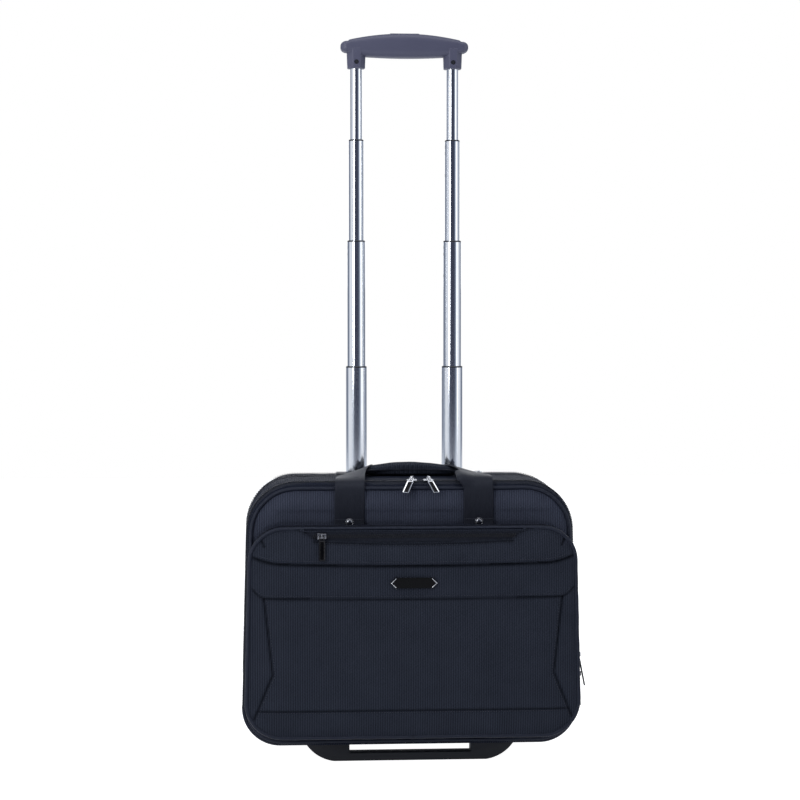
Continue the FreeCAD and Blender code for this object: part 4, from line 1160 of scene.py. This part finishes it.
def pocket_face():
    """The pocket's padded face, with its seams, its slanted opening and the label band."""
    edge_y, welt_y = -0.0975, -0.1004
    border = POCKET.inset(PIPE - 0.0012)
    piece = panel("pocket_padding", border, edge_y, 108, 78)

    def base(point):
        inside = border.depth_inside(point.x, point.z)
        crown = 0.0032 * smoothstep(inside / 0.010) + 0.0048 * smoothstep((inside - 0.006) / 0.030)
        near_slash = smoothstep(1 + in_slash(point.x, point.z) / 0.020)
        y = edge_y - crown
        flat = min(y, welt_y) if near_slash < 1 else welt_y
        return Vector((point.x, y * (1 - near_slash) + flat * near_slash, point.z))

    moved(piece, base)

    def held(point):
        x, z = point.x, point.z
        by_label = abs(x) < 0.036 and abs(z - 0.2425) < 0.010
        return float(border.depth_inside(x, z) < 0.007 or in_slash(x, z) > -0.007 or by_label
                     or seams_near(x, z) < 0.0028)

    swollen(piece, held, 0.0022, 5.0, 18)
    refined(piece, 1)

    def sewn(point):
        x, z = point.x, point.z
        fade = smoothstep(border.depth_inside(x, z) / 0.006)
        y = point.y + lapped(z - seam_one(x), 0.0022, 0.010) * fade
        y += lapped(z - seam_two(x), 0.0016, 0.008) * fade
        if z < seam_two(x):
            y += 0.0021 * ridge(line_distance(abs(x), z, WEDGE), 0.0016) * fade
        if abs(x) < 0.199:
            y += lapped(z - BOTTOM_SEAM, 0.0013, 0.006) * fade
        y += 0.0020 * ridge(line_distance(abs(x), z, DART), 0.0015)
        y -= 0.0005 * ripple(point, 22, 6.0) * fade
        y -= 0.00035 * ripple((x * 0.5, 0, z), 70, 9.0) * fade
        hole = in_slash(x, z)
        if hole > -0.005:
            roll = ridge(hole + 0.0016, 0.0014)
            sunk = smoothstep(hole / 0.001 + 1)
            y = y * (1 - sunk) - 0.0990 * sunk - 0.0014 * roll
        return Vector((x, y, z))

    moved(piece, sewn)
    cut_slash(piece)
    # Painted shade in and under the seams, kept on the points to darken the fabric's colour.
    add_painted_seam_shade(piece, face_painted_seam_shade)
    thickened(piece, 0.0022)
    # The pocket's face in the darker copy of the fabric: painted shade.
    dressed(piece, FABRIC_PAINTED_SHADE_MID, "pocket_cover", flat_weave, 50)
    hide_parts("pocket_face")
    return piece


def cut_slash(piece):
    """Take away the faces inside the slanted opening."""
    activate(piece)
    bpy.ops.object.mode_set(mode="EDIT")
    mesh = bmesh.from_edit_mesh(piece.data)
    for face in mesh.faces:
        middle = face.calc_center_median()
        face.select = in_slash(middle.x, middle.z) > 0.0009
    bmesh.update_edit_mesh(piece.data)
    bpy.ops.mesh.delete(type="FACE")
    bpy.ops.object.mode_set(mode="OBJECT")


def face_rows(face):
    """Topstitching on the pocket's face."""
    rows = {}
    for name, half, count, height in (
            ("band_top", 0.196, 110, lambda x: seam_one(x) + 0.0040),
            ("band_low", 0.199, 110, lambda x: seam_two(x) + 0.0032),
            ("base", 0.190, 100, lambda x: BOTTOM_SEAM - 0.0032),
            ("slash_low", 0.128, 80, lambda x: slash_edge(x) - 0.0034)):
        rows[name] = [(x, height(x)) for x in spread(-half, half, count)]
    for word, hand in HANDS:
        rows["wedge_" + word] = [
            (hand * (x0 + (x1 - x0) * share - 0.0032), z0 + (z1 - z0) * share)
            for (x0, z0), (x1, z1) in zip(WEDGE, WEDGE[1:]) for share in spread(0.03, 0.97, 30)]
    for name, row in rows.items():
        stitched_on(face, "stitch_" + name, row, TO_FRONT, "pocket_cover")


def slash_opening():
    """Zipper in the slanted opening, set back behind the two welts."""
    tape = grid("slash_tape", 60, 6, UPRIGHT)
    moved(tape, lambda point: Vector((point.x * 0.1405, -0.0996, SLASH_MIDDLE + point.z * 0.0075)))
    thickened(tape, 0.0008)
    dressed(tape, ZIP_TAPE, "pocket_cover", flat_weave, 50)
    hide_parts("slash_zipper")
    stock = block("slash_tooth", (1, 1, 1))
    bevelled(stock, 0.22, 1, 30)
    places = []
    for side in (-1, 1):
        for index in range(118):
            x = -0.1285 + index * 0.0022 + (0.0011 if side > 0 else 0.0)
            place = Vector((x, -0.1004, SLASH_MIDDLE + side * 0.0012))
            places.append(Matrix.Translation(place) @ Matrix.Diagonal((0.0013, 0.0012, 0.0026, 1)))
    coils = repeated("slash_coils", stock, places)
    dressed(coils, COIL, "pocket_cover", None, 50)
    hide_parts("slash_zipper")


def pocket():
    gusset("pocket_rear_walls", POCKET, -0.0500, -0.0713, 8, 0.0010, 0.0007, "front_section",
           ["pocket_rear_gusset"])
    gusset("pocket_front_walls", POCKET, -0.0727, -0.0950, 8, 0.0012, 0.0008, "pocket_cover",
           ["pocket_front_gusset"])
    cord_round("pocket_cord", POCKET, -0.096, PIPE, "pocket_cover", ["pocket_piping"])
    seam_round("pocket_cord_stitch", POCKET, -0.0912, "pocket_cover", 0.0012)
    face = pocket_face()
    face_rows(face)
    slash_opening()
    end = POCKET.length_at(ZIP_END)
    zipper_row("pocket_zip_rear", POCKET, POCKET_ZIP_Y, 1, end, "front_section", ["pocket_zipper"])
    zipper_row("pocket_zip_front", POCKET, POCKET_ZIP_Y, -1, end, "pocket_cover")
    hinge_strip("pocket_bend", POCKET, POCKET_ZIP_Y, 0.0075, ZIP_END - 0.001)
    label()


def label():
    """The plain plate on the pocket: gloss black, with bright pointed ends."""
    low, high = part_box("label_plate")
    finish_node("label_plate", LABEL_BLACK)
    middle = Vector(((low.x + high.x) / 2, low.y, (low.z + high.z) / 2))
    half, flat, rise = (high.x - low.x) / 2, 0.024, (high.z - low.z) / 2
    pieces = []
    for hand in (-1, 1):
        for drop in (-1, 1):
            start = Vector((hand * flat, 0, drop * rise))
            tip = Vector((hand * half, 0, 0))
            way = tip - start
            bar = block("label_end_stock", (way.length, 0.0008, 0.0009))
            bevelled(bar, 0.0003, 2)
            turn = Matrix.Rotation(-math.atan2(way.z, way.x), 4, "Y")
            shift = Vector((-hand * 0.0012, -0.0002, -drop * 0.0006))
            turned_to(bar, Matrix.Translation(middle + (start + tip) / 2 + shift) @ turn)
            pieces.append(bar)
    ends = merged("label_ends", pieces)
    dressed(ends, BRIGHT, "pocket_cover", None, 35)


# ---------------------------------------------------------------- straps and carry handle

def spline(points, steps):
    """A smooth run through points, each a tuple of numbers."""
    result = []
    count = len(points)
    for index in range(count - 1):
        before = points[max(index - 1, 0)]
        first, second = points[index], points[index + 1]
        after = points[min(index + 2, count - 1)]
        for step in range(steps):
            t = step / steps
            result.append(tuple(
                0.5 * (2 * b + (c - a) * t + (2 * a - 5 * b + 4 * c - d) * t * t
                       + (3 * b - a - 3 * c + d) * t ** 3)
                for a, b, c, d in zip(before, first, second, after)))
    result.append(points[-1])
    return result


def ribbon(name, route, width, thickness, columns):
    """Flat webbing along a route of (x, y, z, across x, across y, across z)."""
    rows = len(route) - 1
    piece = grid(name, columns, rows)
    lengths = [0.0]
    for before, after in zip(route, route[1:]):
        lengths.append(lengths[-1] + (Vector(after[:3]) - Vector(before[:3])).length)
    marks = []
    for vertex in piece.data.vertices:
        row = int(round((vertex.co.y + 1) / 2 * rows))
        aside = vertex.co.x * width / 2
        marks.append((aside, lengths[row]))
        vertex.co = Vector(route[row][:3]) + Vector(route[row][3:]).normalized() * aside
    laid(piece, lambda index, face: marks[index])
    thickened(piece, thickness, 0.0)
    return bevelled(piece, thickness * 0.3, 2, 50)


def strap_route():
    """The webbing's middle line from one foot, over the top and round the back, to the other foot."""
    middle = 0.004
    half = [
        (0.0840, -0.0524, 0.3092, 1, 0, 0),
        (0.0840, -0.0526, 0.3200, 1, 0, 0),
        (0.0838, -0.0530, 0.3400, 1, 0, 0),
        (0.0836, -0.0530, 0.3540, 1, 0, 0),
        (0.0834, -0.0516, 0.3622, 1, 0, 0),
        (0.0830, -0.0462, 0.3675, 1, 0, -0.02),
        (0.0822, -0.0350, 0.3706, 1, 0, -0.06),
        (0.0800, -0.0140, 0.3730, 1, -0.06, -0.16),
        (0.0755, 0.0080, 0.3752, 0.95, -0.25, -0.26),
        (0.0660, 0.0270, 0.3768, 0.75, -0.60, -0.26),
        (0.0520, 0.0395, 0.3775, 0.42, -0.88, -0.14),
        (0.0300, 0.0462, 0.3765, 0.12, -0.99, -0.03),
        (0.0, 0.0478, 0.3762, 0, -1, 0),
    ]
    lifts = {4: 0.0012, 5: 0.0032, 6: 0.0034, 7: 0.0024, 8: 0.0012}
    right = [(middle + x, y, z + lifts.get(index, 0.0), ax, ay, az)
             for index, (x, y, z, ax, ay, az) in enumerate(half)]
    left = [(middle - x, y, z, ax, -ay, -az) for x, y, z, ax, ay, az in half]
    return left, right


def curled(point):
    """The inner edge of the right-hand strap stands up a little where it folds over the top."""
    edge = smoothstep((0.0830 - point.x) / 0.013)
    edge *= smoothstep((point.z - 0.3580) / 0.012) * smoothstep((-0.016 - point.y) / 0.018)
    return point + Vector((-0.0088 * edge, -0.0020 * edge, 0.0036 * edge - 0.0030 * edge ** 6))


def strap_foot(word, centre):
    """The folded end of the webbing: a patch held by two rows of stitches."""
    patch = subdivided(block("strap_patch_" + word, (0.0376, 0.0015, 0.0095), (centre, -0.0540, 0.3142)), 5)
    moved(patch, lambda point: point + Vector((0, 0.0002 * ripple(point, 120), 0)))
    bevelled(patch, 0.0005, 2)
    dressed(patch, WEBBING, "front_section", flat_weave, 40)
    for index, height in enumerate((0.3106, 0.3180)):
        points = [Vector((centre + x, -0.0548, height)) for x in spread(-0.0165, 0.0165, 12)]
        stitched("strap_stitch_%s_%d" % (word, index), points, [TO_FRONT] * len(points), "front_section",
                 0.0028, 0.002)


def rivet(centre):
    """A domed cap with a rolled rim, at the foot of one strap."""
    height, face_y = 0.3148, -0.0546
    cap = added("rivet_cap_stock", bpy.ops.mesh.primitive_uv_sphere_add, segments=24, ring_count=12, radius=1)
    moved(cap, lambda point: Vector((centre + point.x * 0.0043,
                                     face_y - point.z * (0.0021 if point.z > 0 else 0.0006),
                                     height + point.y * 0.0043)))
    rim = added("rivet_ring_stock", bpy.ops.mesh.primitive_torus_add, major_segments=28, minor_segments=8,
                major_radius=0.0047, minor_radius=0.0006, location=(centre, -0.0549, height),
                rotation=UPRIGHT)
    return [outwards(cap), rim]


def carry_webbing():
    feet = []
    for word, half in zip(("left", "right"), strap_route()):
        piece = ribbon("webbing_" + word, spline(half, 5), 0.038, 0.0019, 14)
        if word == "right":
            moved(piece, curled)
        dressed(piece, WEBBING, None, None, 60)
        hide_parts("strap_tabs", "carry_strap")
        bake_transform(piece)
        feet.append(half[0][0])
        strap_foot(word, feet[-1])
    rivets = merged("rivet_caps", [piece for centre in feet for piece in rivet(centre)])
    dressed(rivets, RIVET, "front_section", None, 50)
    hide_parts("strap_rivets")


def carry_sleeve():
    """The padded sleeve round the crossing of the webbing."""
    low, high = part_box("carry_sleeve")
    middle = (low + high) / 2
    half, height, channel = (high.x - low.x) / 2 + 0.023, 0.3742, 0.0082
    piece = subdivided(block("sleeve_padding", (2 * half, high.y - low.y - 0.004, 0.0085)), 7)
    worked(piece, "REMESH", mode="VOXEL", voxel_size=0.0032)
    swollen(piece, lambda point: 0.0, 0.0022, 3.0, 12)
    refined(piece, 1)

    def lay(point):
        share = min(abs(point.x) / half, 1.0)
        arch = 0.0040 * (1 - share ** 2) - 0.0022 * share ** 2
        channels = 0.0006 * math.cos(point.y * 2 * math.pi / channel) * smoothstep((1 - share) * 6)
        tuck = 1 - 0.25 * smoothstep((share - 0.75) / 0.25)
        z = point.z * tuck + (channels + arch if point.z > 0 else -channels * 0.4)
        sag = 0.0005 * ripple(point, 50, 3.0)
        return Vector((middle.x + point.x, middle.y + point.y, height + z + sag))

    moved(piece, lay)
    # The sleeve in the darker copy of the fabric: painted shade.
    dressed(piece, FABRIC_PAINTED_SHADE_MID, "carry_handle", lambda point, normal: (point.x, point.y), 60)
    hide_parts("carry_sleeve")


# ---------------------------------------------------------------- zippers' sliders and pulls

def zip_slider(name, node, place, body, reach=0.0, heading=0.0, finish=BRIGHT):
    """A slider: a waisted plate with rolled edges and the bridge that holds its pull.

    Made about a point on the coil's top, with the zipper along X and facing +Z. The bridge stands
    reach in front of that point, turned by heading degrees.
    """
    long = 0.013
    plate = subdivided(block(name, (long, 0.010, 0.0016), (0, 0, 0.0011)), 5)

    def waist(point):
        share = point.x / (long / 2)
        width = 1 - 0.16 * (1 - abs(share)) - 0.20 * max(share, 0.0)
        roll = -0.0006 * smoothstep((abs(point.y) - 0.0032) / 0.0018)
        return Vector((point.x, point.y * width, point.z + roll))

    moved(plate, waist)
    bevelled(plate, 0.0004, 2)
    pieces = [plate]
    bridge = block(name + "_bridge", (0.0022, 0.0062, 0.0052), (0, 0, 0.0036))
    bevelled(bridge, 0.0009, 3)
    cut_with(bridge, [block(name + "_hole", (0.02, 0.0026, 0.0022), (0, 0, 0.0037))])
    turned_to(bridge, Matrix.Translation((0, -reach, 0)) @ turn("Z", heading))
    pieces.append(bridge)
    if reach:
        nose = block(name + "_nose", (0.0030, reach, 0.0013), (0, -reach / 2, 0.0010))
        pieces.append(bevelled(nose, 0.0004, 2))
    slider = merged(name, pieces)
    turned_to(slider, place)
    dressed(slider, finish, body, None, 35)
    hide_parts(node)
    return slider


def zip_pull(name, node, place, length, half, body, frame_finish, centre_finish):
    """A pull: a rounded frame with a filled centre and an eye, hanging along -Z and facing -Y."""
    drop, inset, eye = 0.005, 0.0015, 0.0033
    plate = block(name, (2 * half, 0.0016, length), (0, 0, -drop - length / 2))
    activate(plate)
    bpy.ops.object.mode_set(mode="EDIT")
    mesh = bmesh.from_edit_mesh(plate.data)
    bpy.ops.mesh.select_all(action="DESELECT")
    for edge in mesh.edges:
        low, high = (vertex.co for vertex in edge.verts)
        edge.select = abs(low.y - high.y) > 0.001
    bmesh.update_edit_mesh(plate.data)
    bpy.ops.mesh.bevel(offset=half * 0.42, segments=5, affect="EDGES")
    for facing in (-1, 1):
        mesh = bmesh.from_edit_mesh(plate.data)
        for face in mesh.faces:
            face.select = face.normal.y * facing > 0.9
        bmesh.update_edit_mesh(plate.data)
        bpy.ops.mesh.inset(thickness=0.0011, depth=0)
        bpy.ops.transform.translate(value=(0, -facing * 0.00045, 0))
    bpy.ops.object.mode_set(mode="OBJECT")
    bevelled(plate, 0.00022, 2)
    pieces = [plate]
    for hand in (-1, 1):
        arm = block(name + "_arm", (0.0012, 0.0015, drop + 0.0008), (hand * 0.0027, 0, -drop / 2 - 0.0002))
        pieces.append(bevelled(arm, 0.0004, 2))
    bar = cylinder(name + "_bar", 14, 0.00078, 2 * eye, (0, 0, 0), SIDEWAYS)
    pieces.append(bevelled(bar, 0.0002, 1))
    tab = merged(name, pieces)
    turned_to(tab, place)
    dressed(tab, frame_finish, body, None, 35)
    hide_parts(node)
    centre = block(name + "_centre", (2 * (half - inset), 0.0013, length - 2 * inset),
                   (0, 0, -drop - length / 2))
    bevelled(centre, 0.0005, 3)
    turned_to(centre, place)
    dressed(centre, centre_finish, body, None, 35)
    return tab


def turn(axis, degrees):
    return Matrix.Rotation(math.radians(degrees), 4, axis)


def sliders_and_pulls():
    coil, nose = 0.0012, 0.007
    lift = 0.0003 + 0.0014 + 0.0018
    top = CASE.high + coil
    for word, x, heading in (("left", 0.0015, -30), ("right", 0.023, 30)):
        seat = Vector((x, MAIN_ZIP_Y, top))
        zip_slider("main_slider_" + word, "slider_main_" + word, Matrix.Translation(seat),
                   "zip_main_" + word, nose, heading)
        hang = Matrix.Translation(seat + Vector((0, -nose, lift))) @ turn("Z", heading) @ turn("X", -47)
        zip_pull("main_pull_" + word, "pull_main_" + word, hang, 0.021, 0.0045, "tab_main_" + word,
                 BRIGHT, LABEL_BLACK)
    seat = Vector((0.0986, REAR_ZIP_Y, top))
    zip_slider("rear_slider", "slider_rear", Matrix.Translation(seat), "zip_rear")
    hang = Matrix.Translation(seat + Vector((0, 0, lift))) @ turn("X", 88)
    zip_pull("rear_pull", "pull_rear", hang, 0.022, 0.0045, "tab_rear", BRIGHT, LABEL_BLACK)

    tilt = math.degrees(POCKET.lean)
    for word, z, swing in (("upper", 0.143, -11), ("lower", 0.118, -2)):
        seat = Vector((POCKET.side(z) + coil, POCKET_ZIP_Y, z))
        facing = Matrix.Translation(seat) @ turn("Y", 90 - tilt)
        zip_slider("side_slider_" + word, "slider_side_" + word, facing, "zip_side_" + word, 0.0, 90, RIVET)
        hang = Matrix.Translation(seat + Vector((lift, 0, 0))) @ turn("Z", 90) @ turn("X", swing)
        zip_pull("side_pull_" + word, "pull_side_" + word, hang, 0.036, 0.0032, "tab_side_" + word,
                 BLACK_PULL, BLACK_PULL)

    seat = Vector((-0.117, -0.1013, 0.302))
    zip_slider("slash_slider", "slider_slash",
               Matrix.Translation(seat) @ turn("X", 90) @ Matrix.Diagonal((0.85, 0.8, 1, 1)), "zip_slash",
               finish=RIVET)
    hang = Matrix.Translation(seat + Vector((0, -lift, 0))) @ turn("X", -11)
    zip_pull("slash_pull", "pull_slash", hang, 0.026, 0.0041, "tab_slash", BLACK_PULL,
             LABEL_BLACK)


def zippers():
    end = CASE.length_at(ZIP_END)
    zipper_row("main_zip_front", CASE, MAIN_ZIP_Y, -1, end, "front_section", ["main_zipper"], 0.0042,
               gap=front_gap)
    zipper_row("main_zip_rear", CASE, MAIN_ZIP_Y, 1, end, "case_body")
    hinge_strip("main_bend", CASE, MAIN_ZIP_Y, 0.008, ZIP_END - 0.001,
                front_gap)
    sides = (("front", -1), ("back", 1))
    for word, side in sides:
        zipper_row("rear_zip_" + word, CASE, REAR_ZIP_Y, side, CASE.length_at(0.110), "case_body",
                   ["rear_zipper"], rise=0.0014)
    for word, side in sides:
        seam_round("rear_zip_stitch_" + word, CASE, REAR_ZIP_Y + side * 0.008, "case_body", 0.0024, 0.105)


# ---------------------------------------------------------------- hard parts

def lathe(name, half, place):
    """Turn half a profile of (along X, radius) and its mirror about an axis along X through the place."""
    profile = half + [(-x, radius) for x, radius in reversed(half)]
    points = [place + Vector((x, 0, radius)) for x, radius in profile]
    mesh = bpy.data.meshes.new(name)
    count = len(points)
    mesh.from_pydata(points, [(index, (index + 1) % count) for index in range(count)], [])
    return outwards(edited(
        linked(name, mesh),
        lambda: bpy.ops.mesh.spin(steps=64, angle=2 * math.pi, center=place, axis=(1, 0, 0)),
        lambda: bpy.ops.mesh.remove_doubles(threshold=1e-6)))


def wheels():
    for word, hand in HANDS:
        place = Vector((hand * 0.140, 0.085, 0.030))
        body = "wheel_" + word
        tyre = lathe("tyre_tread_" + word, [
            (-0.0100, 0.0203), (-0.0100, 0.0262), (-0.0092, 0.0284), (-0.0072, 0.0296), (-0.0040, 0.0300),
            (-0.0034, 0.0300), (-0.0030, 0.0293), (-0.0022, 0.0293), (-0.0018, 0.0300),
        ], place)
        dressed(tyre, TYRE, body, None, 30)
        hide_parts("tyre_" + word)
        hub = lathe("hub_disc_" + word, [
            (-0.0102, 0.0203), (-0.0102, 0.0178), (-0.0060, 0.0170), (-0.0060, 0.0085), (-0.0108, 0.0078),
            (-0.0108, 0.0042),
        ], place)
        pieces = [hub]
        for index in range(6):
            spoke = block("spoke_stock", (0.0196, 0.0022, 0.0105), (0, 0, 0.0128))
            bevelled(spoke, 0.0005, 2)
            turned_to(spoke, Matrix.Translation(place) @ turn("X", 60 * index))
            pieces.append(spoke)
        hub = merged("hub_disc_" + word, pieces)
        dressed(hub, HUB, body, None, 30)
        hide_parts("hub_" + word)


def grip():
    """The grip: a lens-shaped bar with round ends, on two legs with broad chamfers."""
    low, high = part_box("grip_lower")[0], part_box("grip_upper")[1]
    middle_y = (low.y + high.y) / 2
    half_x, split, radius, power = high.x, 0.942, 0.0082, 2 / 3.4
    bar = cylinder("grip_bar", 56, 1, 2, (0, 0, 0), SIDEWAYS)
    bpy.ops.object.mode_set(mode="EDIT")
    mesh = bmesh.from_edit_mesh(bar.data)
    for edge in mesh.edges:
        edge.select = abs(edge.verts[0].co.x - edge.verts[1].co.x) > 1
    bmesh.update_edit_mesh(bar.data)
    bpy.ops.mesh.subdivide(number_cuts=95)
    bpy.ops.object.mode_set(mode="OBJECT")

    def lens(point):
        share = abs(point.x)
        x = math.sin(point.x * math.pi / 2) * half_x if share < 1 else math.copysign(half_x, point.x)
        out = min(abs(x) / half_x, 1.0)
        top = high.z - (out * half_x) ** 2 / 0.662
        under = 0.9272 + 0.0017 * (out * half_x / 0.053) ** 2 + 0.0022 * smoothstep((out - 0.72) / 0.15)
        neck = smoothstep((out - 0.86) / 0.03)
        past = max((out * half_x - (half_x - radius)) / radius, 0.0)
        cap = math.sqrt(max(1 - past ** 2, 0.0)) if out < 1 else 0
        top = top * (1 - neck) + (split + radius - 0.0004) * neck
        under = under * (1 - neck) + (split - radius + 0.0004) * neck
        ends = 0.18 + 0.82 * cap
        middle = (top + under) / 2
        tall = (top - under) / 2 * ends
        deep = (0.0150 - 0.0020 * out ** 2) * (0.35 + 0.65 * cap)
        y = math.copysign(abs(point.y) ** power, point.y) * deep
        z = math.copysign(abs(point.z) ** power, point.z) * tall
        groove = 0.00035 * math.exp(-((middle + z - split) / 0.0006) ** 2)
        y -= math.copysign(groove, point.y)
        return Vector((x, middle_y + y, middle + z))

    moved(bar, lens)
    cut_with(bar, [block("button_slot_tool", (0.0408, 0.0148, 0.030), (0, middle_y, 0.9650))])
    pieces = [bar]
    for _, hand in HANDS:
        leg = cylinder("grip_leg", 8, 1, 1, (0, 0, 0), (0, 0, math.pi / 8))

        def chamfer(point):
            up = point.z + 0.5
            wide = 0.01175 + 0.0010 * up
            reach = math.cos(math.pi / 8)
            return Vector((hand * TUBE_X + point.x / reach * wide, middle_y + point.y / reach * 0.0140,
                           low.z + up * 0.0270))

        moved(leg, chamfer)
        bevelled(leg, 0.0009, 3, 30)
        screw = cylinder("screw_tool", 24, 0.0031, 0.004, (hand * TUBE_X, middle_y - 0.0140, 0.921), UPRIGHT)
        pieces.append(cut_with(leg, [screw]))
    whole = merged("grip_bar", pieces)
    dressed(whole, GRIP, "stage_one", None, 42)
    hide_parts("grip_lower", "grip_upper")


def hard_parts():
    for material, nodes in (
            (TUBE, ("tubes_one", "tubes_two", "tubes_three", "tubes_four", "tubes_five")),
            (COLLAR, ("guides_two", "guides_three", "guides_four", "plugs_one", "plugs_two", "plugs_three",
                      "plugs_four", "grip_screws")),
            (STEEL, ("axles", "foot_screws", "button_spring", "release_rods"))):
        for node in nodes:
            finish_node(node, material)
    grip()
    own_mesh(frame["nodes"]["button_spring"])
    softened("push_button", 0.0012, GRIP, 3)
    softened("front_foot", 0.0022, DARK_PLASTIC, 3)
    softened("handle_bezel", 0.0008, DARK_PLASTIC)
    softened("wheel_housings", 0.0012, DARK_PLASTIC)
    softened("chassis", 0.0006, DARK_PLASTIC)
    softened("trolley_board", 0.0006, BOARD)
    wheels()


studio()
main_body()
back_panel()
front_section()
pocket()
zippers()
carry_webbing()
carry_sleeve()
sliders_and_pulls()
hard_parts()
